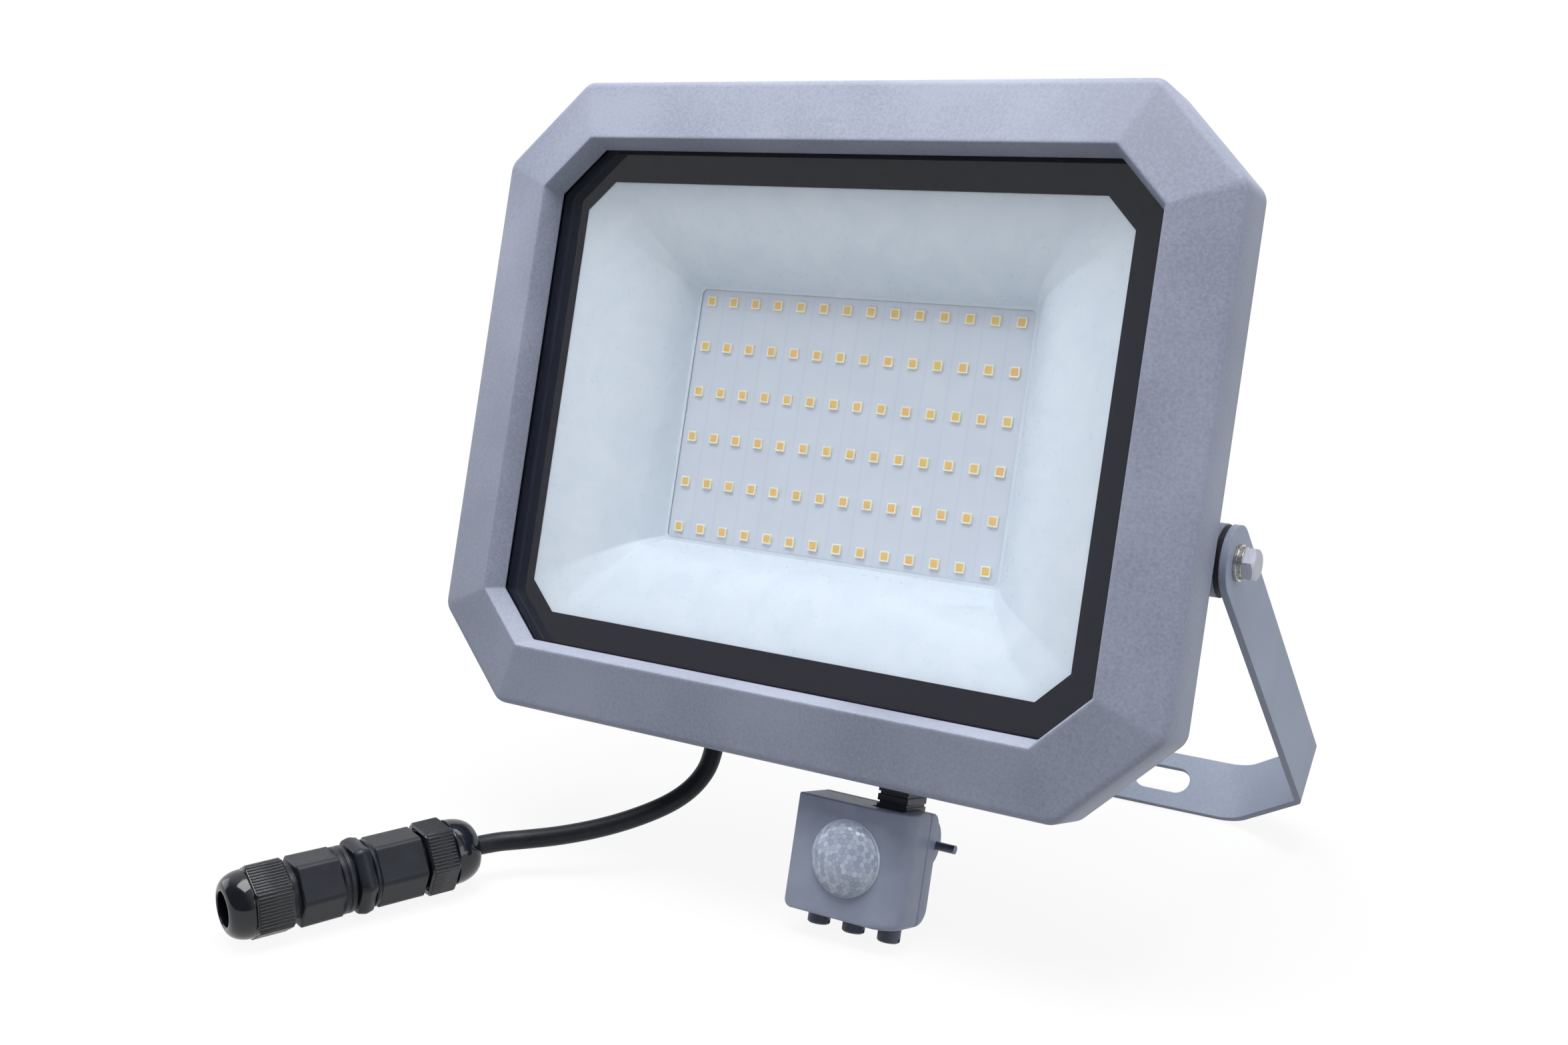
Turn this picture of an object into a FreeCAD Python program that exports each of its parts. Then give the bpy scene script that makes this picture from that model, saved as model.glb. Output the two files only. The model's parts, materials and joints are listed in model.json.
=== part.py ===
import FreeCAD, Part
import math
import os
import Sketcher
from FreeCAD import Placement, Rotation, Vector

# Motion sensor floodlight: a slim cast head with a glazed octagonal front, a folded strap bracket
# on two pivot bolts, a passive infrared sensor hung under the head, and a short lead that ends in
# a sealed in-line connector. It stands on the sensor's knobs and on the near edge of the bracket.
# Millimetres. The row frame has +X to the right, +Y to the back and +Z up, with the floor at z = 0.
# The head, the sensor and the lead's gland are drawn upright in the head's own frame, whose origin
# is the centre of the front outline, and are then leaned back together.

os.makedirs("parts", exist_ok=True)
doc = FreeCAD.newDocument("Floodlight")
sheet = doc.addObject("Spreadsheet::Sheet", "Sizes")

DRIVING_SIZES = [
    # The stand
    ("lean_angle", 16.0, "how far the head leans back, degrees"),
    ("middle_shift", 62.9, "middle of the footprint behind the head's front centre"),
    # The front frame, as one octagon and its parallel offsets
    ("frame_width", 290.0, "front frame across"),
    ("frame_height", 236.2, "front frame from bottom to top"),
    ("corner_cut", 32.0, "leg of the frame's cut corner"),
    ("face_width", 25.3, "sloping face from the opening to the outer edge"),
    ("ridge_lead", 5.3, "inner ridge ahead of the outer edge"),
    ("ridge_inset", 2.2, "ridge outside the opening"),
    ("skirt_depth", 15.5, "outer edge to the rear rim"),
    ("skirt_wall", 2.8, "wall of the skirt"),
    ("face_wall", 3.0, "wall of the sloping face"),
    ("edge_round", 2.0, "rounded outer edges of the frame"),
    ("corner_round", 7.0, "rounded outer corners of the castings, seen from the front"),
    ("lip_back", 3.8, "rear of the lip that holds the glass"),
    ("seat_rib_back", 9.9, "rear of the rib round the glass"),
    ("seat_rib_wall", 3.0, "wall of that rib"),
    # The glass and its seals
    ("glass_lap", 7.0, "glass hidden behind the lip on each side"),
    ("glass_play", 0.4, "play round the glass"),
    ("glass_thickness", 4.0, "tempered glass"),
    ("seal_thickness", 0.5, "flat silicone seals, pressed"),
    # The reflector and the light board
    ("reflector_wall", 1.5, "moulded reflector"),
    ("window_width", 218.1, "clear window across"),
    ("window_height", 163.1, "clear window from bottom to top"),
    ("window_cut", 10.8, "leg of the window's cut corner"),
    ("board_opening_width", 139.4, "reflector's rear opening across"),
    ("board_opening_height", 97.0, "reflector's rear opening from bottom to top"),
    ("board_opening_cut", 2.0, "its small corner cut"),
    ("board_margin", 8.5, "circuit board beyond the reflector's opening on each side"),
    ("board_thickness", 1.6, "aluminium circuit board"),
    ("board_front", 33.4, "front of the board behind the frame's outer edge"),
    ("chip_side", 3.5, "light-emitting diode package"),
    ("chip_thickness", 0.7, "light-emitting diode package"),
    ("chip_columns", 14, "diodes side by side"),
    ("chip_rows", 6, "diodes one above another"),
    ("chip_edge_across", 5.93, "middle of the outer diodes inside the opening, across"),
    ("chip_edge_up", 5.65, "middle of the outer diodes inside the opening, upwards"),
    ("board_screw_radius", 1.45, "M3 screw of the circuit board"),
    ("board_screw_length", 4.5, "M3 screw of the circuit board"),
    ("board_screw_head_radius", 2.8, "its pan head"),
    ("board_screw_head_height", 1.7, "its pan head"),
    # The cast housing
    ("flange_play", 0.4, "housing flange inside the skirt"),
    ("flange_thickness", 4.4, "housing flange"),
    ("body_inset", 14.0, "housing body inside the frame's outline"),
    ("body_wall", 6.0, "side walls of the housing"),
    ("back_wall", 4.5, "wall behind the light board"),
    ("draft_angle", 4.0, "draft of the cast walls, degrees"),
    ("bay_width", 156.0, "driver bay across"),
    ("bay_height", 48.0, "driver bay from bottom to top"),
    ("bay_depth", 15.0, "driver bay behind the back wall"),
    ("fin_height", 14.0, "cooling fins behind the back wall"),
    ("fin_thickness", 2.4, "cooling fins"),
    ("fin_pitch", 10.5, "from fin to fin"),
    ("fin_count", 21, "cooling fins"),
    ("fin_reach_up", 92.0, "top of the fins above the centre"),
    ("frame_screw_radius", 2.0, "M4 screw of the front frame"),
    ("frame_screw_head_radius", 3.8, "its pan head"),
    ("frame_screw_head_height", 2.4, "its pan head"),
    ("frame_screw_across", 75.0, "upper and lower screws from the middle"),
    ("frame_screw_up", 58.0, "side screws from the middle"),
    # What is in the driver bay
    ("bay_wall", 4.0, "side walls of the driver bay"),
    ("driver_width", 74.0, "potted driver across"),
    ("driver_place", 29.0, "middle of the driver, to the right"),
    ("driver_lift", 14.0, "driver above the bay's floor"),
    ("driver_drop", 6.0, "driver below the bay's top"),
    ("terminal_width", 30.0, "terminal block across"),
    ("terminal_height", 16.0, "terminal block from bottom to top"),
    ("terminal_place", 47.0, "middle of the terminal block, to the left"),
    ("terminal_pitch", 10.0, "from clamp to clamp"),
    ("bay_floor_play", 0.3, "driver and terminal block before the bay's back"),
    # The pivots of the bracket
    ("pivot_back", 35.8, "pivot axis behind the frame's outer edge"),
    ("pivot_drop", 28.2, "pivot axis below the centre"),
    ("boss_radius", 12.0, "cast pivot boss"),
    ("bolt_radius", 3.0, "M6 pivot bolt"),
    ("bolt_length", 22.0, "M6 pivot bolt under its head"),
    ("bolt_head_across", 10.0, "across the flats"),
    ("bolt_head_height", 4.0, "head of the pivot bolt"),
    ("washer_radius", 6.0, "flat washer"),
    ("washer_thickness", 1.2, "flat washer"),
    ("spring_washer_radius", 5.4, "spring washer"),
    ("spring_washer_thickness", 1.4, "spring washer"),
    ("spacer_thickness", 2.0, "rubber friction disc between boss and arm"),
    # The folded bracket
    ("strap_thickness", 2.4, "steel strap"),
    ("strap_width", 24.0, "steel strap"),
    ("arm_gap", 0.5, "arm beside the frame's side"),
    ("arm_to_bend", 148.0, "pivot axis to the first bend"),
    ("corner_leg", 31.7, "reach of the slanted corner each way"),
    ("bend_radius", 3.0, "inside the bends"),
    ("slot_place", 83.0, "middle of a slot from the centre"),
    ("slot_length", 23.0, "slot from end to end"),
    ("slot_width", 11.0, "slot across"),
    ("centre_hole_radius", 5.0, "round hole in the middle of the base"),
    ("hole_play", 0.4, "play of bolts in drilled holes"),
    ("touch_play", 0.02, "between washers drawn apart"),
    # The gland and the lead
    ("gland_place", -36.0, "gland from the middle, to the right"),
    ("gland_back", 35.0, "gland behind the frame's outer edge"),
    ("gland_radius", 8.0, "threaded neck of the gland"),
    ("gland_reach", 16.0, "gland below the housing"),
    ("cord_radius", 3.55, "round rubber lead"),
    ("thread_play", 0.05, "between threads drawn as plain cylinders"),
    # The in-line connector
    ("connector_length", 92.3, "connector from end to end"),
    ("connector_nut_length", 28.0, "ribbed gland nut"),
    ("connector_grip_length", 13.5, "hexagonal grip of the gland nut"),
    ("connector_nut_across", 24.4, "grip of the gland nut across the flats"),
    ("connector_nut_round", 3.0, "rounded corners of the grip"),
    ("connector_neck_radius", 10.6, "threaded neck of the bodies"),
    ("connector_neck_start", 11.0, "end of the threaded neck inside the gland nut"),
    ("connector_collar_radius", 12.1, "round collar of the bodies"),
    ("connector_collar_length", 3.6, "round collar of the bodies"),
    ("connector_body_across", 22.0, "hexagonal bodies across the flats"),
    ("connector_ring_across", 24.0, "coupling ring across the flats"),
    ("connector_ring_length", 7.4, "coupling ring"),
    ("entry_radius", 4.2, "open cable entry"),
    ("connector_x", -103.6, "cord end of the connector"),
    ("connector_y", -58.7, "cord end of the connector, from the head's front centre"),
    ("connector_turn", 22.9, "connector's axis away from the line to the front, degrees"),
    # The sensor
    ("sensor_middle", 36.5, "middle of the sensor, to the right"),
    ("sensor_width", 43.0, "sensor across"),
    ("sensor_front", 12.6, "front of the sensor behind the frame's outer edge"),
    ("sensor_seam", 30.0, "seam of the sensor behind the frame's outer edge"),
    ("sensor_back", 36.1, "back of the sensor behind the frame's outer edge"),
    ("sensor_top", 127.2, "top of the sensor below the centre"),
    ("sensor_height", 37.1, "sensor from top to bottom"),
    ("sensor_wall", 2.0, "walls of the sensor"),
    ("lens_radius", 13.2, "domed lens"),
    ("lens_bulge", 6.0, "dome ahead of the sensor's front"),
    ("lens_wall", 0.9, "domed lens"),
    ("knob_radius", 4.0, "setting knob"),
    ("knob_reach", 8.0, "setting knob below the sensor"),
    ("knob_pitch", 13.8, "from knob to knob"),
    ("knob_back", 26.0, "knobs behind the frame's outer edge"),
    ("knob_play", 0.3, "between knob and sensor"),
    # The sensor's neck and hinge
    ("neck_place", 46.2, "neck from the middle, to the right"),
    ("neck_back", 29.2, "neck behind the frame's outer edge"),
    ("neck_width", 11.5, "neck across"),
    ("neck_depth", 14.5, "neck from front to back"),
    ("neck_play", 0.35, "between moving faces"),
    ("stem_radius", 5.0, "turning stem of the neck"),
    ("hinge_back", 37.0, "hinge axis behind the frame's outer edge"),
    ("hinge_drop", 138.5, "hinge axis below the centre"),
    ("hinge_radius", 8.5, "hinge knuckles"),
    ("ear_thickness", 3.0, "hinge ears of the sensor"),
    ("hinge_screw_radius", 1.5, "M3 hinge screw"),
    ("hinge_screw_length", 28.0, "M3 hinge screw, its end showing on the right"),
    ("hinge_screw_head_radius", 2.8, "its pan head"),
    ("sensor_corner_round", 2.5, "rounded lower edges of the sensor"),
    ("notch_front", 18.4, "front of the notch behind the frame's outer edge"),
]

for row, (alias, value, note) in enumerate(DRIVING_SIZES, start=1):
    sheet.set(f"A{row}", note)
    sheet.set(f"B{row}", str(value))
    sheet.setAlias(f"B{row}", alias)
doc.recompute()


class Size:
    """A length worked out from the sheet: its number, and the expression that binds a property to it."""

    def __init__(self, number, text):
        self.number = number
        self.text = text

    def __add__(self, other):
        other = size_of(other)
        return Size(self.number + other.number, f"({self.text} + {other.text})")

    def __radd__(self, other):
        return size_of(other) + self

    def __sub__(self, other):
        other = size_of(other)
        return Size(self.number - other.number, f"({self.text} - {other.text})")

    def __rsub__(self, other):
        return size_of(other) - self

    def __mul__(self, factor):
        return Size(self.number * factor, f"({self.text} * {factor})")

    __rmul__ = __mul__

    def __truediv__(self, factor):
        return Size(self.number / factor, f"({self.text} / {factor})")

    def __neg__(self):
        return Size(-self.number, f"(-{self.text})")

    def __float__(self):
        return float(self.number)


def size_of(value):
    if isinstance(value, Size):
        return value
    return Size(float(value), f"({float(value)})")


class NamedSizes:
    """Reads a cell of the sheet by its alias."""

    def __getattr__(self, alias):
        return Size(float(getattr(sheet, alias)), "Sizes." + alias)


s = NamedSizes()


# Drawing helpers

def bind(thing, name, value):
    value = size_of(value)
    setattr(thing, name, value.number)
    thing.setExpression(name, value.text)


def new_body(label):
    return doc.addObject("PartDesign::Body", label)


def sketch_on(body, role, offset=0.0):
    """An empty sketch on one of the body's own planes, moved along the plane's normal."""
    sketch = body.newObject("Sketcher::SketchObject", body.Label + "_outline")
    plane = next(f for f in body.Origin.OriginFeatures if f.Role == role)
    sketch.AttachmentSupport = [(plane, "")]
    sketch.MapMode = "FlatFace"
    offset = size_of(offset)
    sketch.AttachmentOffset = Placement(Vector(0, 0, offset.number), Rotation())
    sketch.setExpression("AttachmentOffset.Base.z", offset.text)
    return sketch


def hold_point(sketch, edge, end, across, up):
    """Ties one end of an edge, or a centre, to the sketch's origin."""
    for direction, value in (("X", size_of(across)), ("Y", size_of(up))):
        index = sketch.addConstraint(
            Sketcher.Constraint("Distance" + direction, -1, 1, edge, end, value.number))
        sketch.setExpression(f"Constraints[{index}]", value.text)


def polygon(sketch, corners):
    places = [(size_of(a), size_of(b)) for a, b in corners]
    edges = []
    for k, (a, b) in enumerate(places):
        c, d = places[(k + 1) % len(places)]
        line = Part.LineSegment(Vector(a.number, b.number, 0), Vector(c.number, d.number, 0))
        edges.append(sketch.addGeometry(line, False))
    for k, edge in enumerate(edges):
        sketch.addConstraint(Sketcher.Constraint("Coincident", edge, 2, edges[(k + 1) % len(edges)], 1))
    for edge, (a, b) in zip(edges, places):
        hold_point(sketch, edge, 1, a, b)
    return sketch


def rectangle(sketch, left, low, right, high):
    return polygon(sketch, [(left, low), (right, low), (right, high), (left, high)])


def circle(sketch, across, up, radius):
    across, up, radius = size_of(across), size_of(up), size_of(radius)
    centre = Vector(across.number, up.number, 0)
    edge = sketch.addGeometry(Part.Circle(centre, Vector(0, 0, 1), radius.number), False)
    hold_point(sketch, edge, 3, across, up)
    index = sketch.addConstraint(Sketcher.Constraint("Radius", edge, radius.number))
    sketch.setExpression(f"Constraints[{index}]", radius.text)
    return sketch


def slot(sketch, across, up, length, width):
    """A round-ended slot along the sketch's first axis."""
    across, up, radius = size_of(across), size_of(up), size_of(width) / 2
    reach = size_of(length) / 2 - radius
    ends = []
    for side in (-1, 1):
        centre = Vector((across + reach * side).number, up.number, 0)
        arc_circle = Part.Circle(centre, Vector(0, 0, 1), radius.number)
        start = math.pi / 2 * (1 if side < 0 else -1)
        edge = sketch.addGeometry(Part.ArcOfCircle(arc_circle, start, start + math.pi), False)
        hold_point(sketch, edge, 3, across + reach * side, up)
        index = sketch.addConstraint(Sketcher.Constraint("Radius", edge, radius.number))
        sketch.setExpression(f"Constraints[{index}]", radius.text)
        sketch.addConstraint(Sketcher.Constraint("Vertical", edge, 3, edge, 1))
        sketch.addConstraint(Sketcher.Constraint("Vertical", edge, 3, edge, 2))
        ends.append((edge, centre))
    (left, left_centre), (right, right_centre) = ends
    rise = Vector(0, radius.number, 0)
    low = sketch.addGeometry(Part.LineSegment(left_centre - rise, right_centre - rise), False)
    high = sketch.addGeometry(Part.LineSegment(right_centre + rise, left_centre + rise), False)
    sketch.addConstraint(Sketcher.Constraint("Coincident", left, 2, low, 1))
    sketch.addConstraint(Sketcher.Constraint("Coincident", low, 2, right, 1))
    sketch.addConstraint(Sketcher.Constraint("Coincident", right, 2, high, 1))
    sketch.addConstraint(Sketcher.Constraint("Coincident", high, 2, left, 1))
    return sketch


def pad(sketch, length, back=False, taper=None, middle=False):
    feature = sketch.getParentGeoFeatureGroup().newObject("PartDesign::Pad", "pad")
    feature.Profile = sketch
    bind(feature, "Length", length)
    feature.Reversed = back
    feature.Midplane = middle
    if taper is not None:
        bind(feature, "TaperAngle", taper)
    return feature


def pocket(sketch, depth, back=False, taper=None, through=False):
    feature = sketch.getParentGeoFeatureGroup().newObject("PartDesign::Pocket", "pocket")
    feature.Profile = sketch
    if through:
        feature.Type = "ThroughAll"
        feature.Midplane = True
    else:
        bind(feature, "Length", depth)
    feature.Reversed = back
    if taper is not None:
        bind(feature, "TaperAngle", taper)
    return feature


def revolve(sketch, cut=False):
    """Turns a half outline, drawn as radius and height, about the sketch's upright axis."""
    kind = "PartDesign::Groove" if cut else "PartDesign::Revolution"
    feature = sketch.getParentGeoFeatureGroup().newObject(kind, "turn")
    feature.Profile = sketch
    feature.ReferenceAxis = (sketch, ["V_Axis"])
    feature.Angle = 360
    return feature


def turned(label, outline):
    """A body of revolution about its own Z axis, from points of radius and height."""
    body = new_body(label)
    revolve(polygon(sketch_on(body, "XZ_Plane"), outline))
    return body


def round_edges(body, radius, chosen, cut=False):
    """Rounds, or cuts at 45 degrees, the edges of the newest feature that the test chooses."""
    doc.recompute()
    base = body.Tip
    names = [f"Edge{k}" for k, edge in enumerate(base.Shape.Edges, start=1) if chosen(edge)]
    feature = body.newObject("PartDesign::Chamfer" if cut else "PartDesign::Fillet", "edges")
    feature.Base = (base, names)
    bind(feature, "Size" if cut else "Radius", radius)
    return feature


def repeat_round(feature, body, count):
    """Repeats a feature round the body's Z axis."""
    pattern = body.newObject("PartDesign::PolarPattern", "round")
    pattern.Originals = [feature]
    axis = next(f for f in body.Origin.OriginFeatures if f.Role == "Z_Axis")
    pattern.Axis = (axis, [""])
    pattern.Angle = 360
    pattern.Occurrences = count
    body.Tip = pattern
    return pattern


def runs_along(edge, direction):
    """True for a straight edge that runs along the direction."""
    if not isinstance(edge.Curve, Part.Line):
        return False
    return abs(abs(edge.Curve.Direction.dot(direction)) - 1) < 1e-6


ACROSS = Vector(1, 0, 0)
BACK = Vector(0, 1, 0)
UP = Vector(0, 0, 1)
sub_parts = []


def finish(thing, place):
    """Places a sub-part and puts it on the list of those that are written."""
    thing.Placement = place
    sub_parts.append(thing)
    return thing


def group(label, shape_source, places):
    """Like pieces that share one node, each placed from one drawn piece."""
    doc.recompute()
    shapes = []
    for place in places:
        copy = shape_source.Shape.copy()
        copy.Placement = place
        shapes.append(copy)
    feature = doc.addObject("Part::Feature", label)
    feature.Shape = Part.makeCompound(shapes)
    sub_parts.append(feature)
    return feature


# Where the head and the bracket stand

lean = math.radians(s.lean_angle.number)
knob_foot = s.sensor_top + s.sensor_height + s.knob_reach
head_height = math.sin(lean) * (s.knob_back + s.knob_radius).number + math.cos(lean) * knob_foot.number
HEAD = Placement(
    Vector(0, -s.middle_shift.number, head_height),
    Rotation(ACROSS, -s.lean_angle.number))


def in_head(x=0.0, y=0.0, z=0.0, turn=None):
    """A place in the head's upright frame, in the row frame."""
    return HEAD * Placement(Vector(float(x), float(y), float(z)), turn or Rotation())


FACING_FRONT = Rotation(ACROSS, 90)
FACING_RIGHT = Rotation(BACK, 90)
FACING_LEFT = Rotation(BACK, -90)
FACING_DOWN = Rotation(ACROSS, 180)
FACING_BACK = Rotation(ACROSS, -90)

pivot = HEAD.multVec(Vector(0, s.pivot_back.number, -s.pivot_drop.number))
base_reach = s.arm_to_bend + s.corner_leg
edge_reach = math.hypot(base_reach.number, s.strap_width.number / 2)
edge_angle = math.atan2(s.strap_width.number / 2, base_reach.number)
bracket_angle = math.degrees(math.acos(pivot.z / edge_reach) + edge_angle)
BRACKET = Placement(pivot, Rotation(ACROSS, bracket_angle))


# The octagon that the frame, glass, seals, reflector and housing share

half_width = s.frame_width / 2
half_height = s.frame_height / 2
MITRE = 2 - math.sqrt(2)


def octagon(sketch, inset, split=False):
    """The frame's outline moved inwards by the inset, with its cut corners kept parallel."""
    across = half_width - inset
    up = half_height - inset
    return cut_rectangle(sketch, across, up, s.corner_cut - size_of(inset) * MITRE, split)


def cut_rectangle(sketch, across, up, cut, split=False):
    corners = [(0, -up)] if split else []
    corners += [
        (across - cut, -up), (across, -up + cut), (across, up - cut), (across - cut, up),
        (-across + cut, up), (-across, up - cut), (-across, -up + cut), (-across + cut, -up)]
    return polygon(sketch, corners)


def rounded_octagon(sketch, inset, radius):
    """The outline moved inwards by the inset, with an arc of the radius at each corner."""
    across = half_width - inset
    up = half_height - inset
    cut = s.corner_cut - size_of(inset) * MITRE
    corners = [
        (across - cut, -up), (across, -up + cut), (across, up - cut), (across - cut, up),
        (-across + cut, up), (-across, up - cut), (-across, -up + cut), (-across + cut, -up)]
    tangent = size_of(radius) * math.tan(math.radians(22.5))
    slant = math.sqrt(0.5)
    headings = [(slant, slant), (0, 1), (-slant, slant), (-1, 0), (-slant, -slant), (0, -1), (slant, -slant), (1, 0)]
    starts = []
    ends = []
    for k, (a, b) in enumerate(corners):
        come_x, come_y = headings[k - 1]
        go_x, go_y = headings[k]
        ends.append((a - tangent * come_x, b - tangent * come_y))
        starts.append((a + tangent * go_x, b + tangent * go_y))
    lines = []
    for k in range(8):
        a, b = starts[k]
        c, d = ends[(k + 1) % 8]
        line = Part.LineSegment(Vector(a.number, b.number, 0), Vector(c.number, d.number, 0))
        lines.append(sketch.addGeometry(line, False))
        hold_point(sketch, lines[-1], 1, a, b)
        hold_point(sketch, lines[-1], 2, c, d)
    for k in range(8):
        (a, b), (c, d) = ends[k], starts[k]
        go_x, go_y = headings[k]
        centre = Vector(c.number - go_y * float(radius), d.number + go_x * float(radius), 0)
        turn = math.atan2(b.number - centre.y, a.number - centre.x)
        arc = Part.ArcOfCircle(Part.Circle(centre, Vector(0, 0, 1), float(radius)), turn, turn + math.pi / 4)
        edge = sketch.addGeometry(arc, False)
        sketch.addConstraint(Sketcher.Constraint("Coincident", edge, 1, lines[k - 1], 2))
        sketch.addConstraint(Sketcher.Constraint("Coincident", edge, 2, lines[k], 1))
        index = sketch.addConstraint(Sketcher.Constraint("Radius", edge, float(radius)))
        sketch.setExpression(f"Constraints[{index}]", size_of(radius).text)
    return sketch


def octagon_ring(label, front, thickness, outer_inset, inner_inset):
    """A flat ring between two of the parallel octagons."""
    body = new_body(label)
    pad(octagon(sketch_on(body, "XZ_Plane", -size_of(front)), outer_inset), thickness, back=True)
    pocket(octagon(sketch_on(body, "XZ_Plane", -size_of(front)), inner_inset), thickness)
    return body


# Front frame: one die casting, swept round the opening from its true section

opening_inset = s.face_width
glass_edge_inset = s.face_width - s.glass_lap
pocket_inset = glass_edge_inset - s.glass_play
rib_inset = pocket_inset - s.seat_rib_wall
screw_inset = (rib_inset + s.skirt_wall) / 2


def frame_section(inset, back):
    return (size_of(back), -half_height + size_of(inset))


front_frame = new_body("front_frame")
spine = octagon(sketch_on(front_frame, "XZ_Plane"), opening_inset, split=True)
section = polygon(sketch_on(front_frame, "YZ_Plane"), [
    frame_section(opening_inset, s.lip_back),
    frame_section(opening_inset - s.ridge_inset, -s.ridge_lead),
    frame_section(opening_inset - s.ridge_inset - 1.0, -s.ridge_lead),
    frame_section(s.edge_round, -0.2),
    frame_section(s.edge_round * 0.3, s.edge_round * 0.3),
    frame_section(0, s.edge_round),
    frame_section(0, s.skirt_depth - s.edge_round),
    frame_section(s.edge_round * 0.3, s.skirt_depth - s.edge_round * 0.3),
    frame_section(s.edge_round, s.skirt_depth),
    frame_section(s.skirt_wall, s.skirt_depth),
    frame_section(s.skirt_wall, s.face_wall + 0.6),
    frame_section(rib_inset, s.face_wall - 1.5),
    frame_section(rib_inset, s.seat_rib_back),
    frame_section(pocket_inset, s.seat_rib_back),
    frame_section(pocket_inset, s.lip_back)])
sweep = front_frame.newObject("PartDesign::AdditivePipe", "sweep")
sweep.Profile = section
sweep.Spine = (spine, [])
sweep.Transition = "Right corner"
front_frame.Tip = sweep
corner_trim = rounded_octagon(sketch_on(front_frame, "XZ_Plane", s.ridge_lead + 1.0), 0, s.corner_round)
rectangle(corner_trim, -half_width - 1.0, -half_height - 1.0, half_width + 1.0, half_height + 1.0)
pocket(corner_trim, s.ridge_lead + s.skirt_depth + 2.0)

screw_places = []
for side in (-1, 1):
    for along in (-s.frame_screw_across, s.frame_screw_across):
        screw_places.append((along, (half_height - screw_inset) * side))
    for along in (-s.frame_screw_up, s.frame_screw_up):
        screw_places.append(((half_width - screw_inset) * side, along))
boss_start = s.face_wall - 1.0
boss_end = s.seat_rib_back + s.seal_thickness
for across, up in screw_places:
    pad(circle(sketch_on(front_frame, "XZ_Plane", -boss_start), across, up, 3.9),
        boss_end - boss_start, back=True)
for across, up in screw_places:
    pocket(circle(sketch_on(front_frame, "XZ_Plane", -boss_end), across, up,
                  s.frame_screw_radius + s.thread_play),
           boss_end - boss_start, back=True)
finish(front_frame, HEAD)


# Glass, its seal, and the seal between frame and housing

glass_front = s.lip_back + s.seal_thickness + 0.1
glass_pane = new_body("glass_pane")
pad(octagon(sketch_on(glass_pane, "XZ_Plane", -glass_front), glass_edge_inset),
    s.glass_thickness, back=True)
finish(glass_pane, HEAD)

glass_seal = octagon_ring("glass_seal", s.lip_back + 0.05, s.seal_thickness,
                          glass_edge_inset, opening_inset - 1.5)
finish(glass_seal, HEAD)

flange_front = s.seat_rib_back + s.seal_thickness + 0.1
housing_seal = octagon_ring("housing_seal", s.seat_rib_back + 0.05, s.seal_thickness,
                            rib_inset + 0.2, pocket_inset - 0.2)
finish(housing_seal, HEAD)


# Rear housing: cast bowl with a flange, pivot bosses, a driver bay and upright cooling fins

flange_back = flange_front + s.flange_thickness
board_back = s.board_front + s.board_thickness
housing_back = board_back + s.back_wall
cavity_inset = s.body_inset + s.body_wall
housing_bottom = half_height - s.body_inset
bay_low = -housing_bottom
bay_high = bay_low + s.bay_height
bay_back = housing_back + s.bay_depth

rear_housing = new_body("rear_housing")
pad(rounded_octagon(sketch_on(rear_housing, "XZ_Plane", -flange_front), s.skirt_wall + s.flange_play,
                    s.corner_round - s.skirt_wall), s.flange_thickness, back=True)
pad(rounded_octagon(sketch_on(rear_housing, "XZ_Plane", -flange_front), s.body_inset, s.corner_round),
    housing_back - flange_front, back=True, taper=-s.draft_angle)
pad(rectangle(sketch_on(rear_housing, "XZ_Plane", -flange_back), -s.bay_width / 2, bay_low,
              s.bay_width / 2, bay_high), bay_back - flange_back, back=True, taper=-s.draft_angle / 4)
for side in (-1, 1):
    boss_foot = half_width - s.body_inset - 8.0
    boss_face = half_width + s.arm_gap - s.spacer_thickness
    sketch = circle(sketch_on(rear_housing, "YZ_Plane", boss_foot * side),
                    s.pivot_back, -s.pivot_drop, s.boss_radius)
    pad(sketch, boss_face - boss_foot, back=side < 0)
fin_row = s.fin_pitch * (int(s.fin_count.number) - 1)
fin_sketch = rectangle(
    sketch_on(rear_housing, "XZ_Plane", -(housing_back - 1.0)),
    -s.fin_thickness / 2 - fin_row / 2, bay_high + s.fin_thickness,
    s.fin_thickness / 2 - fin_row / 2, s.fin_reach_up)
fin = pad(fin_sketch, s.fin_height + 1.0, back=True)
fins = rear_housing.newObject("PartDesign::LinearPattern", "fins")
fins.Originals = [fin]
x_axis = next(f for f in rear_housing.Origin.OriginFeatures if f.Role == "X_Axis")
fins.Direction = (x_axis, [""])
bind(fins, "Length", fin_row)
fins.Occurrences = int(s.fin_count.number)
rear_housing.Tip = fins
pocket(octagon(sketch_on(rear_housing, "XZ_Plane", -flange_front), cavity_inset),
       board_back - flange_front, taper=-s.draft_angle)
bay_floor = bay_back - s.bay_wall + 0.5
pocket(rectangle(sketch_on(rear_housing, "XZ_Plane", -board_back), -s.bay_width / 2 + s.bay_wall,
                 bay_low + s.body_wall, s.bay_width / 2 - s.bay_wall, bay_high - s.bay_wall),
       bay_floor - board_back)
washers_and_arm = s.strap_thickness + s.washer_thickness + s.spring_washer_thickness
bolt_hole_depth = s.bolt_length - washers_and_arm + 1.0
for side in (-1, 1):
    sketch = circle(sketch_on(rear_housing, "YZ_Plane", (half_width + s.arm_gap) * side),
                    s.pivot_back, -s.pivot_drop, s.bolt_radius + s.thread_play)
    pocket(sketch, bolt_hole_depth, back=side < 0)
for across, up in screw_places:
    pocket(circle(sketch_on(rear_housing, "XZ_Plane", -flange_front), across, up,
                  s.frame_screw_radius + s.hole_play / 2), s.flange_thickness)
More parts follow.
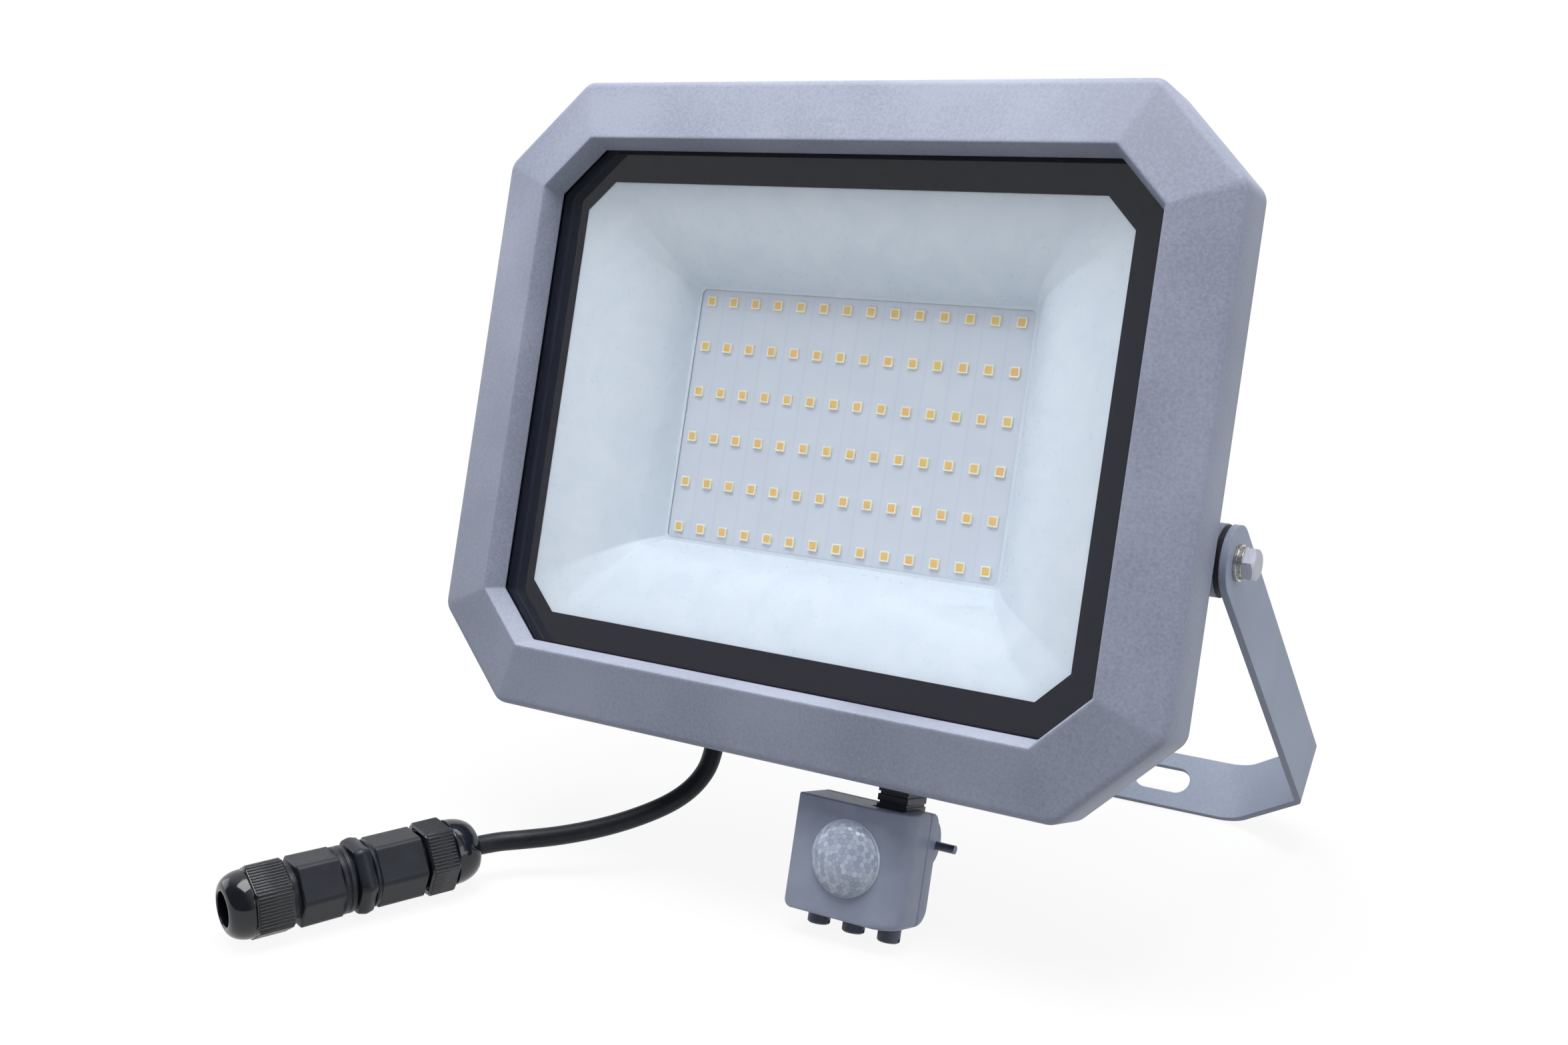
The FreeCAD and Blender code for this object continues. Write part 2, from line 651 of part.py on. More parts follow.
gland_hole = circle(sketch_on(rear_housing, "XY_Plane", bay_low + 10.0),
                    s.gland_place, s.gland_back, s.gland_radius + s.thread_play)
pocket(gland_hole, 12.0)
stem_hole = circle(sketch_on(rear_housing, "XY_Plane", bay_low + 10.0),
                   s.neck_place, s.neck_back, s.stem_radius + 2.0 + s.thread_play)
pocket(stem_hole, 12.0)
finish(rear_housing, HEAD)


# Reflector: a thin moulded funnel with bowed flanks, from the window to the light board

def funnel_section(depth, share, wall, name):
    """One octagon of the funnel; share runs from 0 at the window to 1 at the board."""
    sketch = doc.addObject("Sketcher::SketchObject", name)
    depth = size_of(depth)
    sketch.Placement = Placement(Vector(0, depth.number, 0), FACING_FRONT)
    sketch.setExpression("Placement.Base.y", depth.text)
    width = s.window_width * (1 - share) + s.board_opening_width * share
    height = s.window_height * (1 - share) + s.board_opening_height * share
    cut = s.window_cut * (1 - share) + s.board_opening_cut * share
    cut_rectangle(sketch, width / 2 + wall, height / 2 + wall, cut + size_of(wall) * MITRE)
    return sketch


funnel_front = glass_front + s.glass_thickness + 0.3
funnel_back = s.board_front - 0.4
BOW = (0.0, 0.62, 0.88, 1.0)
lofts = []
for name, wall in (("funnel_inside", 0.0), ("funnel_outside", s.reflector_wall)):
    loft = doc.addObject("Part::Loft", name)
    loft.Sections = [
        funnel_section(funnel_front + (funnel_back - funnel_front) * (k / 3), share, wall, f"{name}_{k}")
        for k, share in enumerate(BOW)]
    loft.Solid = True
    loft.Ruled = False
    lofts.append(loft)
reflector_flange = new_body("reflector_flange")
pad(octagon(sketch_on(reflector_flange, "XZ_Plane", -funnel_front), glass_edge_inset + 0.2),
    s.reflector_wall, back=True)
reflector_outside = doc.addObject("Part::MultiFuse", "reflector_outside")
reflector_outside.Shapes = [lofts[1], reflector_flange]
reflector = doc.addObject("Part::Cut", "reflector")
reflector.Base = reflector_outside
reflector.Tool = lofts[0]
finish(reflector, HEAD)


# Light board with its diodes and screws

board_right = s.board_opening_width / 2 + s.board_margin
board_top = s.board_opening_height / 2 + s.board_margin
screw_in = s.board_screw_head_radius + s.hole_play
board_screw_places = [(a, b) for a in (-board_right + screw_in, board_right - screw_in)
                      for b in (-board_top + screw_in, board_top - screw_in)]
led_board = new_body("led_board")
pad(rectangle(sketch_on(led_board, "XZ_Plane", -s.board_front), -board_right, -board_top,
              board_right, board_top), s.board_thickness - s.touch_play, back=True)
for across, up in board_screw_places:
    pocket(circle(sketch_on(led_board, "XZ_Plane", -s.board_front), across, up,
                  s.board_screw_radius + s.hole_play / 2), s.board_thickness)
finish(led_board, HEAD)

chip = new_body("led_chip")
pad(rectangle(sketch_on(chip, "XZ_Plane"), -s.chip_side / 2, -s.chip_side / 2,
              s.chip_side / 2, s.chip_side / 2), s.chip_thickness)
columns = int(s.chip_columns.number)
rows = int(s.chip_rows.number)
chip_pitch_across = (s.board_opening_width - s.chip_edge_across * 2) / (columns - 1)
chip_pitch_up = (s.board_opening_height - s.chip_edge_up * 2) / (rows - 1)
chip_places = [
    in_head((k - (columns - 1) / 2) * chip_pitch_across.number, s.board_front,
            (n - (rows - 1) / 2) * chip_pitch_up.number)
    for k in range(columns) for n in range(rows)]
group("led_chips", chip, chip_places)


def pan_screw(label, shank_radius, length, head_radius, head_height):
    """A screw with a rounded head above its seat at z = 0 and its shank below."""
    body = turned(label, [
        (0, -size_of(length)), (shank_radius, -size_of(length)), (shank_radius, 0), (head_radius, 0),
        (head_radius, size_of(head_height) * 0.5), (size_of(head_radius) * 0.7, head_height),
        (0, head_height)])
    cross = size_of(head_radius) * 0.5
    for wide, tall in ((cross, 0.35), (0.35, cross)):
        pocket(rectangle(sketch_on(body, "XY_Plane", head_height), -size_of(wide), -size_of(tall),
                         wide, tall), size_of(head_height) * 0.6)
    return body


board_screw = pan_screw("board_screw", s.board_screw_radius, s.board_screw_length,
                        s.board_screw_head_radius, s.board_screw_head_height)
for across, up in board_screw_places:
    pocket(circle(sketch_on(rear_housing, "XZ_Plane", -board_back), across, up,
                  s.board_screw_radius + s.thread_play), s.board_screw_length - s.board_thickness + 0.5)
group("board_screws", board_screw,
      [in_head(a, s.board_front, b, FACING_FRONT) for a, b in board_screw_places])

frame_screw = pan_screw("frame_screw", s.frame_screw_radius, flange_back - boss_start - 1.0,
                        s.frame_screw_head_radius, s.frame_screw_head_height)
group("frame_screws", frame_screw,
      [in_head(a, flange_back, b, FACING_BACK) for a, b in screw_places])


# Driver, its terminal block and the earth screw, inside the bay

driver = new_body("led_driver")
driver_low = bay_low + s.driver_lift
driver_high = bay_high - s.driver_drop
driver_front = board_back - s.bay_depth / 2
pad(rectangle(sketch_on(driver, "XZ_Plane", -driver_front), s.driver_place - s.driver_width / 2,
              driver_low, s.driver_place + s.driver_width / 2, driver_high),
    bay_floor - driver_front - s.bay_floor_play, back=True)
round_edges(driver, 2.0, lambda edge: runs_along(edge, BACK))
finish(driver, HEAD)

terminal_block = new_body("terminal_block")
terminal_front = board_back - s.bay_depth / 4
terminal_low = driver_low + s.driver_drop
pad(rectangle(sketch_on(terminal_block, "XZ_Plane", -terminal_front),
              -s.terminal_place - s.terminal_width / 2, terminal_low,
              -s.terminal_place + s.terminal_width / 2, terminal_low + s.terminal_height),
    bay_floor - terminal_front - s.bay_floor_play, back=True)
for k in (-1, 0, 1):
    pocket(circle(sketch_on(terminal_block, "XZ_Plane", -terminal_front), s.terminal_pitch * k - s.terminal_place,
                  terminal_low + s.terminal_height / 2, s.terminal_pitch * 0.26), s.bay_depth / 2)
finish(terminal_block, HEAD)


# Pivot bolts, washers and friction discs

arm_inside = half_width + s.arm_gap
arm_outside = arm_inside + s.strap_thickness
head_seat = arm_outside + s.washer_thickness + s.spring_washer_thickness + s.touch_play * 3

pivot_bolt = new_body("pivot_bolt")
hexagon = [((s.bolt_head_across / math.sqrt(3)) * math.cos(math.radians(60 * k + 30)),
            (s.bolt_head_across / math.sqrt(3)) * math.sin(math.radians(60 * k + 30))) for k in range(6)]
pad(polygon(sketch_on(pivot_bolt, "XY_Plane"), hexagon), s.bolt_head_height)
bolt_corner = s.bolt_head_across / math.sqrt(3)
revolve(polygon(sketch_on(pivot_bolt, "XZ_Plane"), [
    (s.bolt_head_across * 0.44, s.bolt_head_height), (bolt_corner + 0.4, s.bolt_head_height),
    (bolt_corner + 0.4, s.bolt_head_height - 1.3)]), cut=True)
pad(circle(sketch_on(pivot_bolt, "XY_Plane"), 0, 0, s.bolt_radius), s.bolt_length, back=True)


def washer(label, outer, inner, thickness):
    body = new_body(label)
    pad(circle(sketch_on(body, "XY_Plane"), 0, 0, outer), thickness)
    pocket(circle(sketch_on(body, "XY_Plane", thickness), 0, 0, inner), thickness)
    return body


flat_washer = washer("flat_washer", s.washer_radius, s.bolt_radius + s.hole_play / 2, s.washer_thickness)
spring_washer = washer("spring_washer", s.spring_washer_radius, s.bolt_radius + s.hole_play / 4,
                       s.spring_washer_thickness)
pocket(rectangle(sketch_on(spring_washer, "XY_Plane", s.spring_washer_thickness), 0, -0.5, 8, 0.5),
       s.spring_washer_thickness)
friction_disc = washer("friction_disc", s.boss_radius - 0.4, s.bolt_radius + s.hole_play,
                       s.spacer_thickness - s.touch_play * 2)


def both_sides(label, piece, stand_off):
    """One piece on each side of the head, facing outwards from the pivot axis."""
    places = []
    for side, turn in ((-1, FACING_LEFT), (1, FACING_RIGHT)):
        places.append(in_head(size_of(stand_off).number * side, s.pivot_back, -s.pivot_drop, turn))
    group(label, piece, places)


both_sides("pivot_bolts", pivot_bolt, head_seat)
both_sides("pivot_spring_washers", spring_washer, arm_outside + s.washer_thickness + s.touch_play * 2)
both_sides("pivot_flat_washers", flat_washer, arm_outside + s.touch_play)
both_sides("friction_discs", friction_disc, arm_inside - s.spacer_thickness + s.touch_play)


# Bracket: one strap of steel, punched, folded twice at each corner and powder coated

mounting_bracket = new_body("mounting_bracket")
lap = s.strap_thickness * math.tan(math.radians(22.5))
outer_x = arm_outside
inner_x = arm_inside
base_x = outer_x - s.corner_leg
arm_top = s.strap_width / 2
strap_outline = polygon(sketch_on(mounting_bracket, "XZ_Plane"), [
    (-outer_x, arm_top), (-outer_x, -s.arm_to_bend), (-base_x, -base_reach),
    (base_x, -base_reach), (outer_x, -s.arm_to_bend), (outer_x, arm_top),
    (inner_x, arm_top), (inner_x, -s.arm_to_bend + lap),
    (base_x - lap, -base_reach + s.strap_thickness),
    (-base_x + lap, -base_reach + s.strap_thickness),
    (-inner_x, -s.arm_to_bend + lap), (-inner_x, arm_top)])
pad(strap_outline, s.strap_width, middle=True)


def at_height(edge, *heights):
    return any(abs(edge.CenterOfMass.z - float(height)) < 0.01 for height in heights)


round_edges(mounting_bracket, s.bend_radius, lambda edge: runs_along(edge, BACK) and at_height(
    edge, -s.arm_to_bend + lap, -base_reach + s.strap_thickness))
round_edges(mounting_bracket, s.bend_radius + s.strap_thickness, lambda edge: runs_along(
    edge, BACK) and at_height(edge, -s.arm_to_bend, -base_reach))
round_edges(mounting_bracket, s.strap_width / 2 - 0.1,
            lambda edge: runs_along(edge, ACROSS) and at_height(edge, arm_top))
pocket(circle(sketch_on(mounting_bracket, "YZ_Plane"), 0, 0, s.bolt_radius + s.hole_play),
       1, through=True)
for side in (-1, 1):
    pocket(slot(sketch_on(mounting_bracket, "XY_Plane", -base_reach + s.strap_thickness + 1.0),
                s.slot_place * side, 0, s.slot_length, s.slot_width), s.strap_thickness + 2.0)
pocket(circle(sketch_on(mounting_bracket, "XY_Plane", -base_reach + s.strap_thickness + 1.0),
              0, 0, s.centre_hole_radius), s.strap_thickness + 2.0)
finish(mounting_bracket, BRACKET)


# Cable gland in the housing's bottom wall, hanging down

gland_place = in_head(s.gland_place, s.gland_back, bay_low, FACING_DOWN)
gland_body = turned("gland_body", [
    (s.cord_radius + 0.6, -11.2), (s.gland_radius, -11.2), (s.gland_radius, 0.05), (10.0, 0.05),
    (10.0, 4.0), (7.6, 4.0), (7.6, 9.0), (6.2, 9.0), (6.2, 3.0), (s.cord_radius + 0.6, 3.0)])
finish(gland_body, gland_place)

gland_seal_ring = turned("gland_seal", [
    (s.cord_radius + 0.05, 3.4), (6.1, 3.4), (6.1, 9.6), (s.cord_radius + 0.05, 11.0)])
finish(gland_seal_ring, gland_place)

gland_nut = turned("gland_nut", [
    (7.7, 4.2), (9.3, 4.2), (9.3, 10.5), (8.2, 13.6), (5.2, s.gland_reach), (s.cord_radius + 0.3, s.gland_reach),
    (s.cord_radius + 0.3, 12.6), (6.6, 10.0), (7.7, 9.0)])
rib = pad(rectangle(sketch_on(gland_nut, "XY_Plane", 4.6), 8.6, -0.6, 9.9, 0.6), 6.0)
repeat_round(rib, gland_nut, 16)
finish(gland_nut, gland_place)

gland_locknut = new_body("gland_locknut")
pad(circle(sketch_on(gland_locknut, "XY_Plane", -11.0), 0, 0, 9.4), 2.8)
pocket(circle(sketch_on(gland_locknut, "XY_Plane", -8.2), 0, 0, s.gland_radius + s.thread_play), 3.0)
finish(gland_locknut, gland_place)


# In-line connector, lying on the floor ahead of the head: z runs from the lead's end to the open end

connector_height = s.connector_nut_across * 0.57735 - s.connector_nut_round * 0.1547
connector_axis = Vector(-math.sin(math.radians(s.connector_turn.number)),
                        -math.cos(math.radians(s.connector_turn.number)), 0)
connector_start = Vector(s.connector_x.number, s.connector_y.number - s.middle_shift.number,
                         connector_height.number + 0.1)
level = Rotation(UP, -s.connector_turn.number)
CONNECTOR = Placement(connector_start, Rotation(UP, connector_axis) * level)
FAR_END = CONNECTOR * Placement(Vector(0, 0, s.connector_length.number), Rotation(ACROSS, 180))
nut_inside = s.connector_neck_radius + s.thread_play
ring_start = (s.connector_length - s.connector_ring_length) / 2


def hexagon_across(flats, turn=0):
    """Corners of a hexagon; its flats are level at a turn of 0."""
    corner = size_of(flats) / math.sqrt(3)
    return [(corner * math.cos(math.radians(60 * k + turn)), corner * math.sin(math.radians(60 * k + turn)))
            for k in range(6)]


def connector_nut(label, entry, turn):
    """A domed gland nut with a hexagonal grip, its mouth at z = 0."""
    length = s.connector_nut_length
    grip_start = length - s.connector_grip_length
    nut = new_body(label)
    pad(polygon(sketch_on(nut, "XY_Plane", grip_start), hexagon_across(s.connector_nut_across, turn)),
        s.connector_grip_length)
    round_edges(nut, s.connector_nut_round, lambda edge: runs_along(edge, UP))
    dome = s.connector_nut_across / 2 - 0.3
    revolve(polygon(sketch_on(nut, "XZ_Plane"), [
        (0, 0), (dome * 0.56, 0), (dome * 0.76, 0.9), (dome * 0.9, 3.2), (dome * 0.97, 6.4), (dome, 10.0),
        (dome, length), (0, length)]))
    revolve(polygon(sketch_on(nut, "XZ_Plane"), [
        (0, -1.0), (entry, -1.0), (entry, 6.0), (nut_inside, 9.0), (nut_inside, length + 1.0),
        (0, length + 1.0)]), cut=True)
    return nut


cord_nut = connector_nut("connector_cord_nut", s.cord_radius + 0.25, 0)
finish(cord_nut, CONNECTOR)
free_nut = connector_nut("connector_free_nut", s.entry_radius + 0.6, 30)
finish(free_nut, FAR_END)


def connector_body(label, wire_radius):
    """A hexagonal body with a round collar, and a threaded neck that reaches into its gland nut."""
    body = new_body(label)
    body_start = s.connector_nut_length + 0.8
    pad(polygon(sketch_on(body, "XY_Plane", body_start), hexagon_across(s.connector_body_across)),
        ring_start - body_start)
    pad(circle(sketch_on(body, "XY_Plane", ring_start - s.connector_collar_length), 0, 0,
               s.connector_collar_radius), s.connector_collar_length - 1.0)
    pad(circle(sketch_on(body, "XY_Plane", s.connector_neck_start), 0, 0, s.connector_neck_radius),
        ring_start - s.connector_neck_start)
    pad(circle(sketch_on(body, "XY_Plane", s.connector_neck_start), 0, 0, 8.6),
        s.connector_length / 2 - s.connector_neck_start - 0.3)
    pocket(circle(sketch_on(body, "XY_Plane", s.connector_neck_start), 0, 0, 7.2), 12.0, back=True)
    pocket(circle(sketch_on(body, "XY_Plane", s.connector_neck_start), 0, 0, wire_radius), 20.0, back=True)
    return body


cord_side_body = connector_body("connector_cord_body", 5.0)
finish(cord_side_body, CONNECTOR)
free_side_body = connector_body("connector_free_body", 5.0)
finish(free_side_body, FAR_END)

coupling_ring = new_body("connector_coupling_ring")
pad(polygon(sketch_on(coupling_ring, "XY_Plane", ring_start + 0.1), hexagon_across(s.connector_ring_across)),
    s.connector_ring_length - 0.2)
round_edges(coupling_ring, 0.8, lambda edge: runs_along(edge, UP))
pocket(circle(sketch_on(coupling_ring, "XY_Plane", ring_start), 0, 0, 8.7),
       s.connector_ring_length, back=True)
finish(coupling_ring, CONNECTOR)


def connector_seal(label, hole):
    seat = s.connector_neck_start - 0.1
    return turned(label, [
        (hole, 6.6), (7.4, 9.4), (10.2, 10.4), (10.2, seat), (7.0, seat), (7.0, 22.0), (hole, 22.0)])


finish(connector_seal("connector_cord_seal", s.cord_radius + 0.05), CONNECTOR)
finish(connector_seal("connector_free_seal", s.entry_radius), FAR_END)


# Lead: straight runs joined by tangent arcs, from the gland down to the floor and into the connector

def route_shape(points, radius, label):
    """A round tube along the route; each arc takes 0.45 of the shorter run beside its corner."""
    pieces = []
    at = points[0]
    length = 0.0
    for k in range(1, len(points) - 1):
        before = points[k] - points[k - 1]
        after = points[k + 1] - points[k]
        turn = before.getAngle(after)
        reach = 0.45 * min(before.Length, after.Length)
        bend = reach / math.tan(turn / 2)
        start = points[k] - before.normalize() * reach
        end = points[k] + after.normalize() * reach
        inward = (after - before).normalize()
        middle = points[k] + inward * (bend / math.cos(turn / 2) - bend)
        pieces.append(Part.LineSegment(at, start).toShape())
        pieces.append(Part.Arc(start, middle, end).toShape())
        length += (start - at).Length + bend * turn
        at = end
        print(f"{label}: bend {k} has a radius of {bend:.1f} mm over {math.degrees(turn):.1f} degrees")
    pieces.append(Part.LineSegment(at, points[-1]).toShape())
    length += (points[-1] - at).Length
    path = Part.Wire(pieces)
    direction = points[1] - points[0]
    profile = Part.Wire([Part.Circle(points[0], direction, radius).toShape()])
    tube = path.makePipeShell([profile], True, True)
    print(f"{label}: length {length:.1f} mm, volume {tube.Volume:.1f}, "
          f"section times length {math.pi * radius ** 2 * length:.1f}")
    return tube


cord_start = HEAD.multVec(Vector(s.gland_place.number, s.gland_back.number, float(bay_low) - 12.0))
cord_below = HEAD.multVec(Vector(s.gland_place.number, s.gland_back.number, float(bay_low) - 22.0))
connector_in = connector_start + connector_axis * 12.0
connector_out = connector_start - connector_axis * 6.0
shift = s.middle_shift.number
cord_points = [
    cord_start,
    cord_below,
    Vector(-39.2, -5.9 - shift, 34.6),
    Vector(-44.6, -12.8 - shift, 28.6),
    Vector(-54.0, -20.2 - shift, 23.4),
    Vector(-66.0, -28.4 - shift, 18.8),
    Vector(-79.5, -36.8 - shift, 15.5),
    Vector(-91.5, -44.0 - shift, 13.8),
    connector_out,
    connector_in]
power_cord = doc.addObject("Part::Feature", "power_cord")
power_cord.Shape = route_shape(cord_points, s.cord_radius.number, "power_cord")
sub_parts.append(power_cord)
for point in cord_points:
    print("cord point", round(point.x, 2), round(point.y, 2), round(point.z, 2))


# Sensor neck: a flanged bush in the housing, a turning stem with its nut, and the block below

neck_centre = (s.neck_place, s.neck_back)
neck_frame = in_head(s.neck_place, s.neck_back, bay_low, FACING_DOWN)
neck_bush = turned("neck_bush", [
    (s.stem_radius + s.neck_play, -9.0), (s.stem_radius + 2.0, -9.0), (s.stem_radius + 2.0, 0.05),
    (s.stem_radius + 3.6, 0.05), (s.stem_radius + 3.6, 2.4), (s.stem_radius + s.neck_play, 2.4)])
finish(neck_bush, neck_frame)

block_top = bay_low - 2.4 - s.neck_play
block_front = s.neck_back - s.neck_depth / 2
block_back = s.neck_back + s.neck_depth / 2
block_left = s.neck_place - s.neck_width / 2
block_right = s.neck_place + s.neck_width / 2
lug_half = s.neck_width / 2 - 1.4

sensor_neck = new_body("sensor_neck")
pad(rectangle(sketch_on(sensor_neck, "XY_Plane", -s.sensor_top - 2.0), block_left, block_front,
              block_right, block_back), -(-s.sensor_top - 2.0) + block_top)
pad(circle(sketch_on(sensor_neck, "XY_Plane", block_top), *neck_centre, s.stem_radius), 15.4)
lug = polygon(sketch_on(sensor_neck, "YZ_Plane", s.neck_place), [
    (block_front + 2.0, -s.sensor_top), (block_front + 4.5, -s.hinge_drop), (s.hinge_back, -s.hinge_drop - 2.0),
    (block_back, -s.hinge_drop), (block_back, -s.sensor_top)])
pad(lug, lug_half * 2, middle=True)
pad(circle(sketch_on(sensor_neck, "YZ_Plane", s.neck_place), s.hinge_back, -s.hinge_drop,
           s.hinge_radius), lug_half * 2, middle=True)
pocket(circle(sketch_on(sensor_neck, "YZ_Plane", s.neck_place + lug_half + 1.0), s.hinge_back, -s.hinge_drop,
              s.hinge_screw_radius + 0.08), lug_half * 2 + 2.0)
for step in range(4):
    groove_low = -s.sensor_top + 1.0 + 3.2 * step
    outer = rectangle(sketch_on(sensor_neck, "XY_Plane", groove_low), block_left - 1.0, block_front - 1.0,
                      block_right + 1.0, block_front + 0.6)
    pocket(outer, 1.0, back=True)
    outer = rectangle(sketch_on(sensor_neck, "XY_Plane", groove_low), block_right - 0.6, block_front - 1.0,
                      block_right + 1.0, block_back + 1.0)
    pocket(outer, 1.0, back=True)
    outer = rectangle(sketch_on(sensor_neck, "XY_Plane", groove_low), block_left - 1.0, block_front - 1.0,
                      block_left + 0.6, block_back + 1.0)
    pocket(outer, 1.0, back=True)
finish(sensor_neck, HEAD)

stem_nut = new_body("neck_stem_nut")
pad(circle(sketch_on(stem_nut, "XY_Plane", -12.4), 0, 0, s.stem_radius + 3.0), 3.0)
pocket(circle(sketch_on(stem_nut, "XY_Plane", -9.4), 0, 0, s.stem_radius + s.thread_play), 3.0)
finish(stem_nut, neck_frame)


# Sensor: front shell and rear cover, both notched for the neck, with hinge ears on the cover

sensor_left = s.sensor_middle - s.sensor_width / 2
sensor_right = s.sensor_middle + s.sensor_width / 2
sensor_low = -s.sensor_top - s.sensor_height
notch_half = s.neck_width / 2 + s.neck_play
notch_low = -s.hinge_drop - s.hinge_radius - 1.5


def near(value, target):
    return abs(float(value) - float(target)) < 0.01


def notch(body):
    pocket(rectangle(sketch_on(body, "XY_Plane", -s.sensor_top + 1.0), s.neck_place - notch_half,
                     s.notch_front, s.neck_place + notch_half, s.sensor_back + 20.0),
           -s.sensor_top + 1.0 - notch_low)


def sensor_outline(sketch, front, back):
    """Plan of the sensor: a large round at the front right, and a slanted rear left."""
    return polygon(sketch, [
        (sensor_left, front), (sensor_right, front), (sensor_right, back), (sensor_left, back)])


sensor_front_shell = new_body("sensor_front_shell")
pad(sensor_outline(sketch_on(sensor_front_shell, "XY_Plane", sensor_low), s.sensor_front,
                   s.sensor_seam - 0.1), s.sensor_height)
round_edges(sensor_front_shell, 9.0, lambda edge: runs_along(edge, UP) and near(
    edge.CenterOfMass.x, sensor_right) and near(edge.CenterOfMass.y, s.sensor_front))
round_edges(sensor_front_shell, s.sensor_corner_round, lambda edge: near(edge.CenterOfMass.z, sensor_low)
            and edge.CenterOfMass.y < float(s.sensor_seam) - 0.2)
round_edges(sensor_front_shell, 1.2, lambda edge: near(edge.CenterOfMass.z, -s.sensor_top)
            and edge.CenterOfMass.y < float(s.sensor_seam) - 0.2)
pocket(rectangle(sketch_on(sensor_front_shell, "XZ_Plane", -(s.sensor_seam + 1.0)),
                 sensor_left + s.sensor_wall, sensor_low + s.sensor_wall,
                 sensor_right - s.sensor_wall, -s.sensor_top - s.sensor_wall),
       s.sensor_seam - s.sensor_front - s.sensor_wall + 1.0, back=True)
pad(rectangle(sketch_on(sensor_front_shell, "XY_Plane", notch_low - s.sensor_wall),
              s.neck_place - notch_half - s.sensor_wall, s.notch_front - s.sensor_wall,
              sensor_right - 1.0, s.sensor_seam - 0.1), -s.sensor_top - 1.0 - notch_low + s.sensor_wall)
notch(sensor_front_shell)
lens_up = -s.sensor_top - s.sensor_height / 2
pocket(circle(sketch_on(sensor_front_shell, "XZ_Plane", -(s.sensor_front - 1.0)), s.sensor_middle, lens_up,
              s.lens_radius - 1.2), s.sensor_wall + 3.0)
for k in (-1, 0, 1):
    pocket(circle(sketch_on(sensor_front_shell, "XY_Plane", sensor_low + s.sensor_wall),
                  s.sensor_middle + s.knob_pitch * k, s.knob_back, 2.2), s.sensor_wall + 1.0)
finish(sensor_front_shell, HEAD)

sensor_rear_cover = new_body("sensor_rear_cover")
pad(sensor_outline(sketch_on(sensor_rear_cover, "XY_Plane", sensor_low), s.sensor_seam + 0.1,
                   s.sensor_back), s.sensor_height)
round_edges(sensor_rear_cover, s.sensor_corner_round, lambda edge: runs_along(edge, BACK) and near(
    edge.CenterOfMass.z, sensor_low))
round_edges(sensor_rear_cover, 4.0, lambda edge: near(edge.CenterOfMass.y, s.sensor_back) and abs(
    edge.CenterOfMass.z + float(s.sensor_top + s.sensor_height / 2)) > 10)
pocket(rectangle(sketch_on(sensor_rear_cover, "XZ_Plane", -s.sensor_seam),
                 sensor_left + s.sensor_wall, sensor_low + s.sensor_wall + 2.5,
                 s.neck_place - notch_half - s.sensor_wall, -s.sensor_top - s.sensor_wall - 2.5),
       s.sensor_back - s.sensor_seam - s.sensor_wall)
for side in (-1, 1):
    ear_start = s.neck_place + notch_half * side
    pad(circle(sketch_on(sensor_rear_cover, "YZ_Plane", ear_start), s.hinge_back, -s.hinge_drop,
               s.hinge_radius), s.ear_thickness, back=side < 0)
notch(sensor_rear_cover)
pocket(rectangle(sketch_on(sensor_rear_cover, "XZ_Plane", -(s.sensor_seam + 0.1)), sensor_left - 5.0,
                 sensor_low - 5.0, sensor_right + 5.0, -s.sensor_top + 5.0), s.hinge_radius * 2, back=True)
pocket(circle(sketch_on(sensor_rear_cover, "YZ_Plane", s.neck_place), s.hinge_back, -s.hinge_drop,
              s.hinge_screw_radius + s.thread_play), 1, through=True)
head_seat_x = s.neck_place - notch_half - s.ear_thickness
pocket(circle(sketch_on(sensor_rear_cover, "YZ_Plane", head_seat_x), s.hinge_back, -s.hinge_drop,
              s.hinge_screw_head_radius + s.hole_play), s.ear_thickness)
pocket(circle(sketch_on(sensor_rear_cover, "YZ_Plane", s.neck_place + notch_half + s.ear_thickness),
              s.hinge_back, -s.hinge_drop, s.hinge_screw_radius + s.hole_play), s.ear_thickness, back=True)
finish(sensor_rear_cover, HEAD)

sensor_lens = turned("sensor_lens", [
    (0, s.lens_bulge), (s.lens_radius * 0.42, s.lens_bulge * 0.93), (s.lens_radius * 0.72, s.lens_bulge * 0.72),
    (s.lens_radius * 0.92, s.lens_bulge * 0.4), (s.lens_radius, 0.8), (s.lens_radius, 0.05),
    (s.lens_radius - 1.3, 0.05), (s.lens_radius - 1.3, -2.6), (s.lens_radius - 1.3 - s.lens_wall, -2.6),
    (s.lens_radius - 1.3 - s.lens_wall, 0.3), (s.lens_radius * 0.70, s.lens_bulge * 0.72 - s.lens_wall),
    (s.lens_radius * 0.40, s.lens_bulge * 0.93 - s.lens_wall), (0, s.lens_bulge - s.lens_wall)])
finish(sensor_lens, in_head(s.sensor_middle, s.sensor_front, lens_up, FACING_FRONT))

sensor_board = new_body("sensor_board")
board_y = s.sensor_front + 6.4
pad(rectangle(sketch_on(sensor_board, "XZ_Plane", -board_y), sensor_left + 2.6, sensor_low + 5.0,
              s.neck_place - notch_half - s.sensor_wall - 0.4, -s.sensor_top - 4.0), 1.2, back=True)
finish(sensor_board, HEAD)

pir_detector = turned("pir_detector", [(0, 0.05), (4.6, 0.05), (4.6, 0.8), (4.1, 0.8), (4.1, 4.0), (0, 4.0)])
finish(pir_detector, in_head(s.sensor_middle - 4.0, board_y, lens_up, FACING_FRONT))

